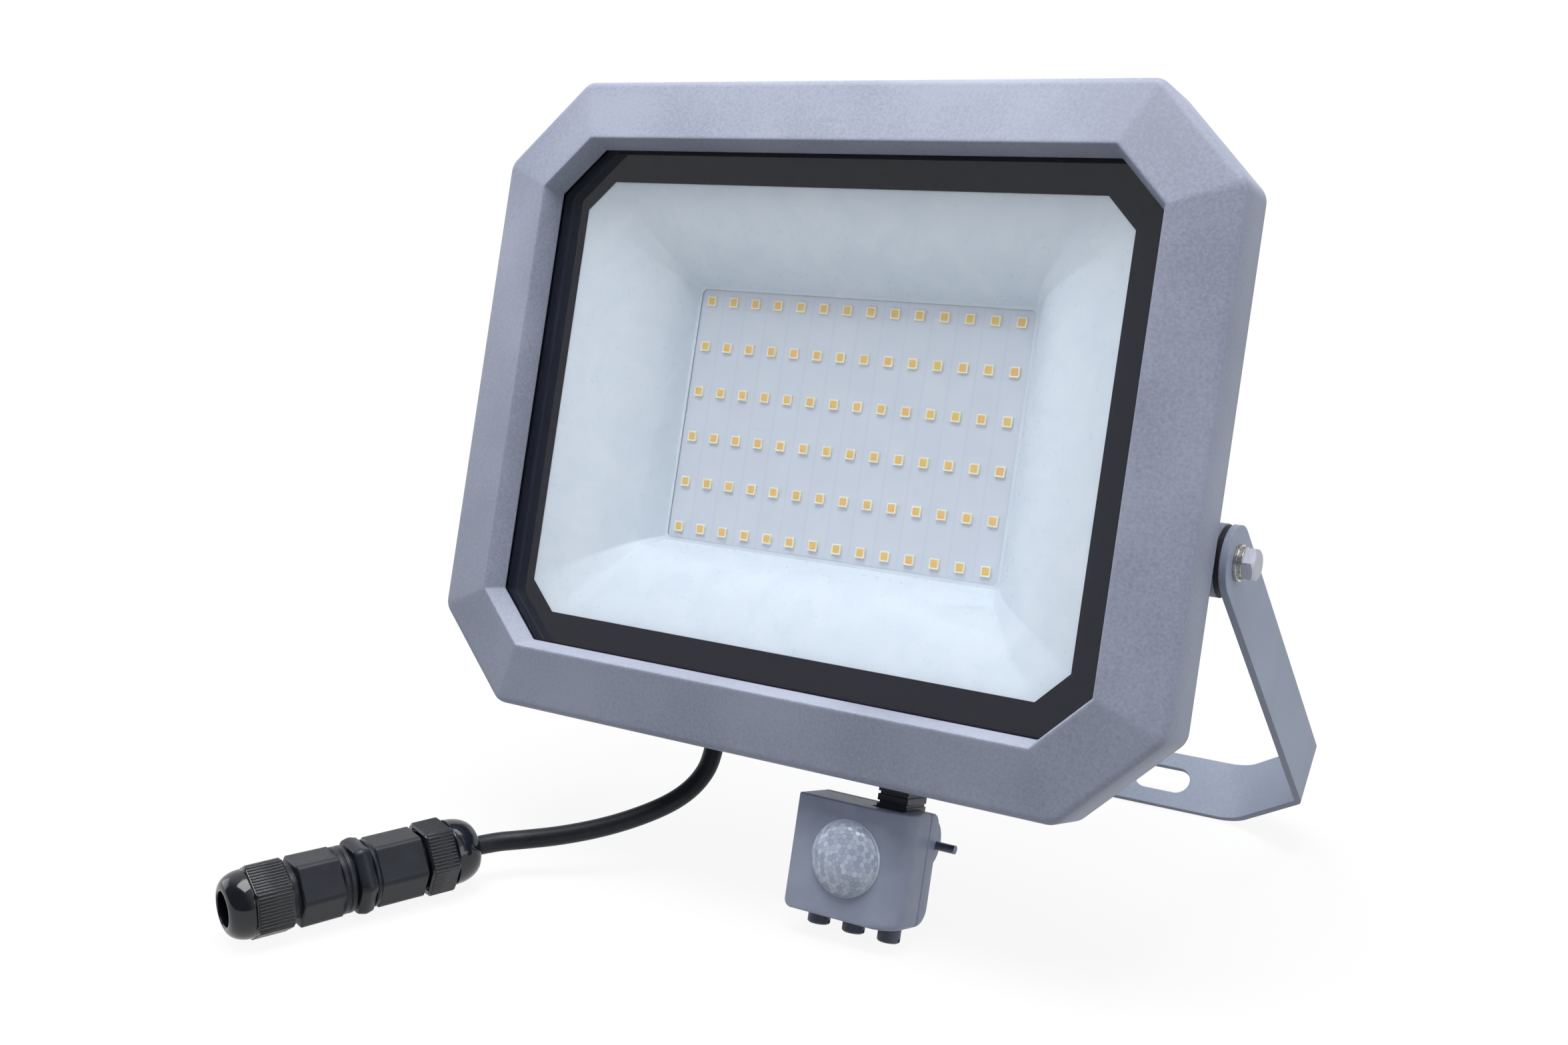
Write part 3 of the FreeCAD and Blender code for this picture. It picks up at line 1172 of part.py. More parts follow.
hinge_screw = turned("hinge_screw", [
    (0, -s.hinge_screw_length), (s.hinge_screw_radius, -s.hinge_screw_length), (s.hinge_screw_radius, 0),
    (s.hinge_screw_head_radius, 0), (s.hinge_screw_head_radius, 1.4),
    (s.hinge_screw_head_radius * 0.7, 2.0), (0, 2.0)])
finish(hinge_screw, in_head(s.neck_place - notch_half - s.ear_thickness - 0.03, s.hinge_back,
                            -s.hinge_drop, FACING_LEFT))

for k, name in ((-1, "lux_knob"), (0, "time_knob"), (1, "range_knob")):
    knob = turned(name, [
        (0, -5.0), (1.7, -5.0), (1.7, 0.0), (2.0, s.knob_play), (s.knob_radius, s.knob_play),
        (s.knob_radius, s.knob_reach - 0.5), (s.knob_radius - 0.5, s.knob_reach), (0, s.knob_reach)])
    pocket(rectangle(sketch_on(knob, "XY_Plane", s.knob_reach), -s.knob_radius, -0.5, s.knob_radius, 0.5), 1.6)
    finish(knob, in_head(s.sensor_middle + s.knob_pitch * k, s.knob_back, sensor_low, FACING_DOWN))


# Every object is checked before anything is written

doc.recompute()
for thing in doc.Objects:
    if "Invalid" in thing.State or "Error" in thing.State:
        raise RuntimeError(f"{thing.Label} failed: {thing.State}")
for thing in sub_parts:
    if thing.Shape.isNull() or not thing.Shape.isValid():
        raise RuntimeError(f"{thing.Label} has no valid shape")
for thing in sub_parts:
    thing.Shape.exportStep(f"parts/{thing.Label}.step")
    box = thing.Shape.BoundBox
    print(thing.Label, len(thing.Shape.Solids), round(thing.Shape.Volume),
          [round(v, 1) for v in (box.XMin, box.YMin, box.ZMin, box.XMax, box.YMax, box.ZMax)])
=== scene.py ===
import bmesh
import bpy
import json
from math import copysign, cos, degrees, pi, radians, sin, sqrt, tan
from mathutils import Matrix, Vector

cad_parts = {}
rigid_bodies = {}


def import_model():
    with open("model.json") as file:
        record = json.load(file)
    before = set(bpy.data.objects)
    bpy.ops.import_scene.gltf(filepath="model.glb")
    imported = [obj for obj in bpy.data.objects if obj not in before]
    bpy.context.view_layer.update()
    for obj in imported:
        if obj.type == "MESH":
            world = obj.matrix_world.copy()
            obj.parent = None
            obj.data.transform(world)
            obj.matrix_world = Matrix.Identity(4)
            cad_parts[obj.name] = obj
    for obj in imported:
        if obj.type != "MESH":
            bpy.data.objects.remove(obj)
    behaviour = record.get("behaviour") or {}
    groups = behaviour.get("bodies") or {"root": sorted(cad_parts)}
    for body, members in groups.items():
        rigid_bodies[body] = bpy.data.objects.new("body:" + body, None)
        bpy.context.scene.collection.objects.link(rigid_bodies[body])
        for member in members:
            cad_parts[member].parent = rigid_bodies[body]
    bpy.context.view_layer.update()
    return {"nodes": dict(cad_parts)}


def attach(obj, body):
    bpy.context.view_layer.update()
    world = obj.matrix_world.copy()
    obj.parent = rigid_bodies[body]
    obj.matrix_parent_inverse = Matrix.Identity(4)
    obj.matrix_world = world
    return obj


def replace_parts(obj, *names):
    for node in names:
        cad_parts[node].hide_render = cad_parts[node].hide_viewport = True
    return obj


# Motion sensor floodlight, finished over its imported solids. Metres, with the floor at z = 0.
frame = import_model()
nodes = frame["nodes"]


# Rear housing: an aluminium die casting with upright cooling fins, a driver bay and two pivot
# bosses. It is blasted, then powder coated and baked with the frame, in one batch of paint.

def linear(shade):
    """An sRGB hex colour as linear red, green, blue and alpha."""
    channels = [int(shade[k:k + 2], 16) / 255 for k in (1, 3, 5)]
    return [c / 12.92 if c <= 0.04045 else ((c + 0.055) / 1.055) ** 2.4 for c in channels] + [1.0]


def add(tree, kind, inputs=None, **settings):
    """One node. Inputs, by name or number, are values, sockets or nodes, which stand for their
    first output; settings are its properties."""
    node = tree.nodes.new(kind)
    for name, value in settings.items():
        setattr(node, name, value)
    for key, value in (inputs or {}).items():
        if isinstance(value, bpy.types.Node):
            value = value.outputs[0]
        if isinstance(value, bpy.types.NodeSocket):
            tree.links.new(value, node.inputs[key])
        else:
            node.inputs[key].default_value = value
    return node


def new_finish(name):
    """A material with its tree, its surface shader and the object's own coordinates."""
    material = bpy.data.materials.new(name)
    material.use_nodes = True
    tree = material.node_tree
    where = add(tree, "ShaderNodeTexCoord").outputs["Object"]
    return material, tree, tree.nodes["Principled BSDF"], where


def dress(material, *names):
    """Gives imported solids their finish."""
    for name in names:
        for holder in nodes[name].material_slots:
            holder.material = material


def surface(tree, skin, share, shades, mottle, rough, height, relief, edge_radius):
    """Colour between two shades, roughness over a range with a texture, and a relief of given
    strength and depth with softened edges."""
    colour = add(tree, "ShaderNodeMix", {
        0: share, 6: linear(shades[0]), 7: linear(shades[1])}, data_type="RGBA")
    gloss = add(tree, "ShaderNodeMapRange", {
        "Value": mottle.outputs["Fac"], "From Min": 0.3, "From Max": 0.7,
        "To Min": rough[0], "To Max": rough[1]})
    edges = add(tree, "ShaderNodeBevel", {"Radius": edge_radius}, samples=6)
    bumps = add(tree, "ShaderNodeBump", {
        "Strength": relief[0], "Distance": relief[1], "Height": height.outputs["Fac"],
        "Normal": edges})
    tree.links.new(colour.outputs[2], skin.inputs["Base Color"])
    tree.links.new(gloss.outputs[0], skin.inputs["Roughness"])
    tree.links.new(bumps.outputs[0], skin.inputs["Normal"])


def powder_coat(name, dark, light, edge_radius):
    """Satin polyester powder coat: fused grains, so a speckled colour and a fine orange peel."""
    grain = 0.0011
    peel = 0.0013
    peel_depth = 0.00008
    cloud = 0.05
    rough = (0.44, 0.6)
    material, tree, skin, where = new_finish(name)
    speckle = add(tree, "ShaderNodeTexNoise", {
        "Vector": where, "Scale": 1 / grain, "Detail": 3.0, "Roughness": 0.62})
    drift = add(tree, "ShaderNodeTexNoise", {"Vector": where, "Scale": 1 / cloud, "Detail": 2.0})
    both = add(tree, "ShaderNodeMath", {
        0: speckle.outputs["Fac"], 1: drift.outputs["Fac"]}, operation="ADD")
    share = add(tree, "ShaderNodeMapRange", {"Value": both, "From Min": 0.78, "From Max": 1.22})
    ripple = add(tree, "ShaderNodeTexNoise", {"Vector": where, "Scale": 1 / peel, "Detail": 2.0})
    surface(tree, skin, share, (dark, light), speckle, rough, ripple, (0.35, peel_depth), edge_radius)
    return material


casting_coat = powder_coat("satin_powder_coat_on_aluminium", "#9094A8", "#A8ACC0", 0.0014)
dress(casting_coat, "rear_housing")


# Driver and terminal block: a potted constant-current driver in the bay, with a moulded nylon
# terminal for the mains beside it. Both are glued to the bay's floor and are out of sight.

def moulded(name, dark, light, rough, grain, depth, edge_radius=0.0004, shine=0.5):
    """An injection moulding: spark-eroded grain of the given size and depth, with faint flow marks."""
    flow = 0.012
    material, tree, skin, where = new_finish(name)
    texture = add(tree, "ShaderNodeTexNoise", {"Vector": where, "Scale": 1 / grain, "Detail": 3.0})
    streak = add(tree, "ShaderNodeTexNoise", {
        "Vector": where, "Scale": 1 / flow, "Detail": 2.0, "Distortion": 0.8})
    share = add(tree, "ShaderNodeMapRange", {
        "Value": streak.outputs["Fac"], "From Min": 0.3, "From Max": 0.7})
    surface(tree, skin, share, (dark, light), texture, (rough - 0.06, rough + 0.08), texture,
            (0.4, depth), edge_radius)
    skin.inputs["IOR"].default_value = 1.5
    skin.inputs["Specular IOR Level"].default_value = shine
    return material


dress(moulded("cast_epoxy_potting", "#1B1C20", "#26272C", 0.3, 0.004, 0.0002), "led_driver")
dress(moulded("natural_nylon_terminal", "#CFCDC2", "#DEDCD3", 0.45, 0.0005, 0.00004), "terminal_block")


# Light board: an aluminium-core circuit board with white solder mask, held to the housing by
# screws. Copper tracks run upwards under the mask, and show as faint lighter and darker lines.

board_track_pitch = 0.00981
track_line = 0.0007

board_finish, tree, skin, where = new_finish("white_solder_mask_on_aluminium")
across = add(tree, "ShaderNodeSeparateXYZ", {0: where})
step = add(tree, "ShaderNodeMath", {0: across.outputs["X"], 1: board_track_pitch}, operation="DIVIDE")
part = add(tree, "ShaderNodeMath", {0: step}, operation="FRACT")
off = add(tree, "ShaderNodeMath", {0: part, 1: 0.5}, operation="SUBTRACT")
far = add(tree, "ShaderNodeMath", {0: off}, operation="ABSOLUTE")
line = add(tree, "ShaderNodeMapRange", {
    "Value": far, "From Min": 0.5 - track_line / board_track_pitch, "From Max": 0.5,
    "To Min": 0.0, "To Max": 0.24})
ink = add(tree, "ShaderNodeTexNoise", {"Vector": where, "Scale": 90.0, "Detail": 3.0})
mottle = add(tree, "ShaderNodeMix", {
    0: ink.outputs["Fac"], 6: linear("#CAD4E3"), 7: linear("#D5DDEA")}, data_type="RGBA")
tracks = add(tree, "ShaderNodeMix", {
    0: line, 6: mottle.outputs[2], 7: linear("#B6C3D6")}, data_type="RGBA")
raised = add(tree, "ShaderNodeBump", {"Strength": 0.3, "Distance": 0.00004, "Height": line})
tree.links.new(tracks.outputs[2], skin.inputs["Base Color"])
tree.links.new(raised.outputs[0], skin.inputs["Normal"])
skin.inputs["Roughness"].default_value = 0.38
dress(board_finish, "led_board")


# Light-emitting diodes: 84 white moulded packages in six rows, reflow soldered to the board. Each
# is a square cup of heat-resistant plastic with a window of silicone and phosphor.

head_lean = radians(16.0)
head_place = Matrix.Translation((0.0, -0.0629, 0.173894)) @ Matrix.Rotation(-head_lean, 4, "X")
facing_front = Matrix.Rotation(radians(90.0), 4, "X")
board_front = 0.0334
diode_columns = 14
diode_rows = 6
diode_pitch_across = 0.00981
diode_pitch_up = 0.01714
package_half = 0.0019
package_height = 0.0009
package_round = 0.0003
window_half = 0.00132
window_round = 0.0004


def rounded_square(half, radius, height, steps=4):
    """Points round a square with rounded corners, at one height."""
    points = []
    for quarter in range(4):
        for k in range(steps + 1):
            turn = radians(90 * quarter + 90 * k / steps)
            corner = radians(90 * quarter + 45)
            middle = Vector((copysign(half - radius, cos(corner)),
                             copysign(half - radius, sin(corner)), height))
            points.append(middle + radius * Vector((cos(turn), sin(turn), 0.0)))
    return points


def lofted(name, rings, closed=False, caps=(True, True), sharp=35.0):
    """A skin through rings of equally many points, with flat ends or joined round into a ring."""
    form = bmesh.new()
    loops = [[form.verts.new(point) for point in ring] for ring in rings]
    pairs = list(zip(loops, loops[1:])) + ([(loops[-1], loops[0])] if closed else [])
    for low, high in pairs:
        for k in range(len(low)):
            form.faces.new((low[k - 1], low[k], high[k], high[k - 1]))
    for wanted, loop in zip(caps, (loops[0], loops[-1])):
        if wanted and not closed:
            form.faces.new(loop)
    bmesh.ops.recalc_face_normals(form, faces=form.faces)
    mesh = bpy.data.meshes.new(name)
    form.to_mesh(mesh)
    form.free()
    mesh.shade_smooth()
    mesh.set_sharp_from_angle(angle=radians(sharp))
    return mesh


def new_tree(name, sizes):
    """An empty geometry tree with named inputs, as a dict of name and socket type."""
    tree = bpy.data.node_groups.new(name, "GeometryNodeTree")
    tree.interface.new_socket("Geometry", in_out="INPUT", socket_type="NodeSocketGeometry")
    for label, kind in sizes.items():
        tree.interface.new_socket(label, in_out="INPUT", socket_type=kind)
    tree.interface.new_socket("Geometry", in_out="OUTPUT", socket_type="NodeSocketGeometry")
    return tree, add(tree, "NodeGroupInput").outputs


gather = bpy.context.scene.collection.objects


def settled(holder, name):
    """The plain mesh that an object has after its modifiers; the object is removed."""
    bpy.context.view_layer.update()
    graph = bpy.context.evaluated_depsgraph_get()
    mesh = bpy.data.meshes.new_from_object(holder.evaluated_get(graph), depsgraph=graph)
    mesh.name = name
    bpy.data.objects.remove(holder)
    return mesh


def grown(name, tree, values, start=None):
    """The plain mesh that a tree grows when its named inputs have these values."""
    holder = bpy.data.objects.new(name + "_start", start or bpy.data.meshes.new(name))
    gather.link(holder)
    modifier = holder.modifiers.new(name, "NODES")
    modifier.node_group = tree
    for socket in tree.interface.items_tree:
        if socket.in_out == "INPUT" and socket.name in values:
            modifier[socket.identifier] = values[socket.name]
    holder.update_tag()
    return settled(holder, name)


def piece(name, mesh, place, body, material=None):
    """A finished piece at the origin, its place in its mesh, riding on a body."""
    if place is not None:
        mesh.transform(place)
    if material is not None:
        mesh.materials.clear()
        mesh.materials.append(material)
    thing = bpy.data.objects.new(name, mesh)
    gather.link(thing)
    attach(thing, body)
    return thing


package_finish = moulded("white_thermoset_package", "#EFE9D2", "#F6F1DF", 0.35, 0.0004, 0.00002, 0.0001)

# Phosphor in silicone: the dose differs a little from diode to diode, and so does the warm tint.
phosphor_finish, tree, skin, where = new_finish("phosphor_in_silicone")
cell = add(tree, "ShaderNodeVectorMath", {
    0: where, 1: (diode_pitch_across, 1.0, diode_pitch_up * 0.97)}, operation="DIVIDE")
cell_number = add(tree, "ShaderNodeVectorMath", {0: cell}, operation="FLOOR")
chance = add(tree, "ShaderNodeTexWhiteNoise", {"Vector": cell_number}, noise_dimensions="3D")
tint = add(tree, "ShaderNodeMix", {
    0: chance.outputs["Value"], 6: linear("#DDBF55"), 7: linear("#E9AE62")}, data_type="RGBA")
grit = add(tree, "ShaderNodeTexNoise", {"Vector": where, "Scale": 4000.0, "Detail": 2.0})
cloudy = add(tree, "ShaderNodeMix", {
    0: grit.outputs["Fac"], 6: tint.outputs[2], 7: linear("#EFD08A")}, data_type="RGBA")
tree.links.new(cloudy.outputs[2], skin.inputs["Base Color"])
skin.inputs["Roughness"].default_value = 0.25
skin.inputs["IOR"].default_value = 1.41

diode_tree, sizes = new_tree("diodes in rows", {
    "Columns": "NodeSocketInt", "Rows": "NodeSocketInt", "Pitch Across": "NodeSocketFloat",
    "Pitch Up": "NodeSocketFloat", "Pattern Piece": "NodeSocketObject", "Finish": "NodeSocketMaterial"})
gaps_across = add(diode_tree, "ShaderNodeMath", {0: sizes["Columns"], 1: 1.0}, operation="SUBTRACT")
gaps_up = add(diode_tree, "ShaderNodeMath", {0: sizes["Rows"], 1: 1.0}, operation="SUBTRACT")
width = add(diode_tree, "ShaderNodeMath", {
    0: gaps_across, 1: sizes["Pitch Across"]}, operation="MULTIPLY")
height = add(diode_tree, "ShaderNodeMath", {
    0: gaps_up, 1: sizes["Pitch Up"]}, operation="MULTIPLY")
grid = add(diode_tree, "GeometryNodeMeshGrid", {
    "Size X": width, "Size Y": height,
    "Vertices X": sizes["Columns"], "Vertices Y": sizes["Rows"]})
pattern = add(diode_tree, "GeometryNodeObjectInfo", {"Object": sizes["Pattern Piece"]})
placed = add(diode_tree, "GeometryNodeInstanceOnPoints", {
    "Points": grid.outputs["Mesh"], "Instance": pattern.outputs["Geometry"]})
real = add(diode_tree, "GeometryNodeRealizeInstances", {"Geometry": placed})
painted = add(diode_tree, "GeometryNodeSetMaterial", {
    "Geometry": real, "Material": sizes["Finish"]})
add(diode_tree, "NodeGroupOutput", {0: painted})

package_form = lofted("package", [
    rounded_square(package_half, package_round, 0.0),
    rounded_square(package_half, package_round, package_height * 0.85),
    rounded_square(package_half - 0.00008, package_round, package_height),
    rounded_square(window_half + 0.00006, window_round, package_height),
    rounded_square(window_half, window_round, package_height * 0.86)])
window_form = lofted("window", [
    rounded_square(window_half + 0.00004, window_round, package_height * 0.84),
    rounded_square(window_half * 0.9, window_round, package_height * 0.9),
    rounded_square(window_half * 0.5, 0.0003, package_height * 0.95)])
board_place = head_place @ Matrix.Translation((0.0, board_front, 0.0)) @ facing_front
for name, form, finish in (("diode_packages", package_form, package_finish),
                           ("diode_windows", window_form, phosphor_finish)):
    sample = bpy.data.objects.new(name + "_sample", form)
    mesh = grown(name, diode_tree, {
        "Columns": diode_columns, "Rows": diode_rows, "Pitch Across": diode_pitch_across,
        "Pitch Up": diode_pitch_up, "Pattern Piece": sample, "Finish": finish})
    made = piece(name, mesh, board_place, "head")
    bpy.data.objects.remove(sample)
    if name == "diode_packages":
        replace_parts(made, "led_chips")


# Board screws and frame screws: zinc plated steel, pan heads with a cross recess. The board's
# are M3 and hidden; the frame's are M4 and go in from the back through the housing's flange.

def plated(name, dark, light, rough, brush, depth, edge_radius=0.0003):
    """Bright metal: fine random scratches under a thin plating, so the gloss wavers."""
    material, tree, skin, where = new_finish(name)
    scratch = add(tree, "ShaderNodeTexNoise", {
        "Vector": where, "Scale": 1 / brush, "Detail": 4.0, "Roughness": 0.7})
    share = add(tree, "ShaderNodeMapRange", {
        "Value": scratch.outputs["Fac"], "From Min": 0.3, "From Max": 0.7})
    surface(tree, skin, share, (dark, light), scratch, (rough - 0.05, rough + 0.1), scratch,
            (0.5, depth), edge_radius)
    skin.inputs["Metallic"].default_value = 1.0
    return material


zinc = plated("zinc_plated_steel", "#A9ADB6", "#C9CCD3", 0.34, 0.0008, 0.00003)
dress(zinc, "board_screws", "frame_screws")


# Reflector: a thin white polycarbonate moulding with bowed flanks, clipped between the glass and
# the board. Its satin skin spreads the light; its corners are broad soft facets.

window_half_size = Vector((0.10905, 0.08155))
window_cut = 0.0108
opening_half_size = Vector((0.0697, 0.0485))
opening_cut = 0.0012
funnel_front = 0.0087
funnel_depth = 0.0241
funnel_end = 0.0330
funnel_bow = (2.62, -2.61, 0.99)
funnel_wall = 0.0015
funnel_ledge = 0.0012
corner_start = 0.005
corner_end = 0.0006
outline_half = Vector((0.145, 0.1181))
outline_cut = 0.032
flange_inset = 0.0185
flange_round = 0.002
mitre = 2 - sqrt(2)


def cut_rectangle(half_width, half_height, cut, depth, rounding=0.0, steps=5):
    """Points round a rectangle with cut corners, in the head's frame, with an arc at each corner."""
    corners = [(half_width - cut, -half_height), (half_width, -half_height + cut),
               (half_width, half_height - cut), (half_width - cut, half_height)]
    corners += [(-x, -z) for x, z in corners]
    corners = [Vector((x, depth, z)) for x, z in corners]
    if not rounding:
        return corners
    points = []
    for k, corner in enumerate(corners):
        back = (corners[k - 1] - corner).normalized()
        on = (corners[(k + 1) % len(corners)] - corner).normalized()
        middle = corner + (back + on).normalized() * rounding / cos(radians(22.5))
        tangent = rounding * tan(radians(22.5))
        first = corner + back * tangent - middle
        last = corner + on * tangent - middle
        points += [middle + first.slerp(last, n / steps) * first.length for n in range(steps + 1)]
    return points


def funnel_ring(way, wall=0.0):
    """One ring of the reflector; way runs from 0 at the window to 1 at the board."""
    share = sum(factor * way ** (k + 1) for k, factor in enumerate(funnel_bow))
    half = window_half_size.lerp(opening_half_size, share)
    cut = window_cut + (opening_cut - window_cut) * share + wall * mitre
    rounding = corner_start + (corner_end - corner_start) * share
    return cut_rectangle(half.x + wall, half.y + wall, cut, funnel_front + funnel_depth * way, rounding)


ways = [0, 0.06, 0.13, 0.2, 0.28, 0.37, 0.47, 0.58, 0.7, 0.8, 0.9, 1.0]
ledge = opening_half_size - Vector((funnel_ledge, funnel_ledge))
rear_half = opening_half_size + Vector((funnel_wall, funnel_wall))
flange_half = outline_half - Vector((flange_inset, flange_inset))
flange_cut = outline_cut - flange_inset * mitre
funnel_rings = [funnel_ring(way) for way in ways]
for half, depth in ((ledge, funnel_front + funnel_depth), (ledge, funnel_end),
                    (rear_half, funnel_end)):
    funnel_rings.append(cut_rectangle(half.x, half.y, opening_cut, depth, corner_end))
funnel_rings += [funnel_ring(way, funnel_wall) for way in reversed(ways[2:-1])]
for depth in (funnel_front + funnel_wall, funnel_front):
    funnel_rings.append(cut_rectangle(flange_half.x, flange_half.y, flange_cut, depth, flange_round))
reflector_finish = moulded("satin_white_polycarbonate", "#D3DFEC", "#DAE5F0", 0.32,
                           0.0016, 0.00003, 0.0003)
reflector = piece("reflector_with_soft_corners",
                  lofted("reflector_with_soft_corners", funnel_rings, closed=True, sharp=40.0),
                  head_place, "head", reflector_finish)
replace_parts(reflector, "reflector")


# Printed border: black ceramic frit, screen printed on the back of the glass and fused into it
# when the glass is tempered. It hides the seal and the reflector's flange.

glass_back = 0.0084
print_thickness = 0.0001
glass_inset = 0.0183

frit, tree, skin, where = new_finish("black_ceramic_frit")
print_grain = add(tree, "ShaderNodeTexNoise", {"Vector": where, "Scale": 2500.0, "Detail": 1.0})
shade = add(tree, "ShaderNodeMapRange", {
    "Value": print_grain.outputs["Fac"], "From Min": 0.3, "From Max": 0.7})
colour = add(tree, "ShaderNodeMix", {
    0: shade, 6: linear("#0F1323"), 7: linear("#121627")}, data_type="RGBA")
tree.links.new(colour.outputs[2], skin.inputs["Base Color"])
skin.inputs["Roughness"].default_value = 0.6
skin.inputs["Specular IOR Level"].default_value = 0.0
print_front = glass_back + 0.00003
print_back = print_front + print_thickness
glass_half = outline_half - Vector((glass_inset, glass_inset))
glass_edge = (glass_half.x, glass_half.y, outline_cut - glass_inset * mitre)
window_edge = (window_half_size.x, window_half_size.y, window_cut)
border = lofted("printed_border", [
    cut_rectangle(*glass_edge, print_front), cut_rectangle(*window_edge, print_front),
    cut_rectangle(*window_edge, print_back), cut_rectangle(*glass_edge, print_back)], closed=True)
piece("printed_border", border, head_place, "head", frit)


# Glass: 4 mm tempered soda-lime float glass, clear, with faint smears that soften its gloss.
# Shadow rays pass straight through, a little dimmed, so lamps light the board behind it.

glass, tree, skin, where = new_finish("tempered_float_glass")
dust = add(tree, "ShaderNodeTexNoise", {"Vector": where, "Scale": 60.0, "Detail": 4.0})
smear = add(tree, "ShaderNodeMapRange", {
    "Value": dust.outputs["Fac"], "From Min": 0.4, "From Max": 0.8, "To Min": 0.0, "To Max": 0.03})
tree.links.new(smear.outputs[0], skin.inputs["Roughness"])
skin.inputs["Base Color"].default_value = linear("#FFFFFF")
skin.inputs["Transmission Weight"].default_value = 1.0
skin.inputs["IOR"].default_value = 1.52
ray = add(tree, "ShaderNodeLightPath")
clear = add(tree, "ShaderNodeBsdfTransparent", {"Color": linear("#E2E3E4")})
either = add(tree, "ShaderNodeMixShader", {
    0: ray.outputs["Is Shadow Ray"], 1: skin, 2: clear})
tree.links.new(either.outputs[0], tree.nodes["Material Output"].inputs["Surface"])
dress(glass, "glass_pane")


# Seals: die-cut black silicone between the lip and the glass, and between frame and housing.
# Only their edges could be seen; they are soft, matt and slightly dusty.

silicone = moulded("black_silicone_rubber", "#1D1F24", "#2A2C32", 0.6, 0.0003, 0.00003)
dress(silicone, "glass_seal", "housing_seal")


# Front frame: an aluminium die casting of one swept section, with softly rounded edges, in the
# same powder coat as the housing. Eight screws pull it on from behind.

lip_inset = 0.0253
ridge_inset = 0.0022
ridge_lead = 0.0053
skirt_depth = 0.0218
skirt_wall = 0.0028
lip_back = 0.0038
rib_inset = 0.0149
rib_back = 0.0099
pocket_inset = 0.0179
frame_corner = 0.007
least_corner = 0.0012
ridge = lip_inset - ridge_inset
# The section's corners, as distance in from the outline and depth behind the front.
frame_section = [
    (lip_inset, lip_back), (ridge + 0.0002, -ridge_lead + 0.0006), (ridge - 0.0002, -ridge_lead),
    (ridge - 0.0008, -ridge_lead), (ridge - 0.0014, -ridge_lead + 0.0002), (0.0026, -0.0003),
    (0.0012, 0.0001), (0.0004, 0.0009), (0.0, 0.0022), (0.0, skirt_depth - 0.001),
    (0.0003, skirt_depth - 0.0003), (0.001, skirt_depth), (skirt_wall, skirt_depth),
    (skirt_wall, 0.0036), (rib_inset, 0.0015), (rib_inset, rib_back), (pocket_inset, rib_back),
    (pocket_inset, lip_back)]
frame_rings = []
for inset, depth in frame_section:
    half = outline_half - Vector((inset, inset))
    frame_rings.append(cut_rectangle(half.x, half.y, outline_cut - inset * mitre, depth,
                                     max(least_corner, frame_corner - inset)))
frame_coat = powder_coat("satin_powder_coat_on_front_frame", "#9399AB", "#A9AFC1", 0.0010)
frame_piece = piece("cast_front_frame", lofted("cast_front_frame", frame_rings, closed=True, sharp=40.0),
                    head_place, "head", frame_coat)
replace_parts(frame_piece, "front_frame")


# Pivot: on each side an M6 stainless bolt, a spring washer and a flat washer clamp the arm on a
# rubber disc, whose grip holds the head at its angle.

bolt_finish = plated("blasted_stainless_bolt", "#9FA1AB", "#B9BBC6", 0.48, 0.0006, 0.00006)
dress(bolt_finish, "pivot_bolts")
washer_finish = plated("bright_stainless_washer", "#A5A29C", "#D6D3CC", 0.2, 0.0009, 0.00003)
dress(washer_finish, "pivot_spring_washers", "pivot_flat_washers")
dress(moulded("black_friction_rubber", "#17191D", "#22252A", 0.7, 0.0005, 0.00005), "friction_discs")


# Bracket: 2.4 mm steel strap, punched and folded, then powder coated in the same shade. The coat
# is a little thinner and flatter than on the castings.

pivot_point = Vector((0.0, -0.03626, 0.13692))
bracket_lean = radians(44.335)
bracket_place = Matrix.Translation(pivot_point) @ Matrix.Rotation(bracket_lean, 4, "X")
strap_half_width = 0.012
strap_half_thickness = 0.0012
strap_folds = [(0.1467, -0.1475, 0.0042), (0.1157, -0.1785, 0.018)]
strap_middle = 0.05
slot_centre = 0.083
slot_half_length = 0.0115
slot_radius = 0.0055
centre_hole = 0.005
bolt_hole = 0.0033
beyond_arms = 0.2
beyond_strap = 0.01


def strap_line():
    """Points down the right arm and in to the middle, each with the strap's direction there."""
    heading = Vector((0.0, -1.0))
    points = [(Vector((strap_folds[0][0], strap_half_width * sin(radians(a)))), heading)
              for a in (89, 82, 74, 66, 58, 50, 42, 34, 26, 18, 9, 0)]
    for x, z, bend in strap_folds:
        corner = Vector((x, z))
        turned = Matrix.Rotation(radians(-45.0), 2) @ heading
        tangent = bend * tan(radians(22.5))
        centre = corner - heading * tangent + Vector((heading.y, -heading.x)) * bend
        for k in range(9):
            turn = Matrix.Rotation(radians(-45.0 * k / 8), 2)
            points.append((centre + turn @ (corner - heading * tangent - centre), turn @ heading))
        heading = turned
    points.append((Vector((strap_middle, points[-1][0].y)), heading))
    return points


def strap_ring(place, heading, half_width):
    """The strap's rectangular section, across its line."""
    aside = Vector((heading.y, -heading.x)) * strap_half_thickness
    return [Vector((place.x + sign * aside.x, side * half_width, place.y + sign * aside.y))
            for sign, side in ((1, -1), (1, 1), (-1, 1), (-1, -1))]


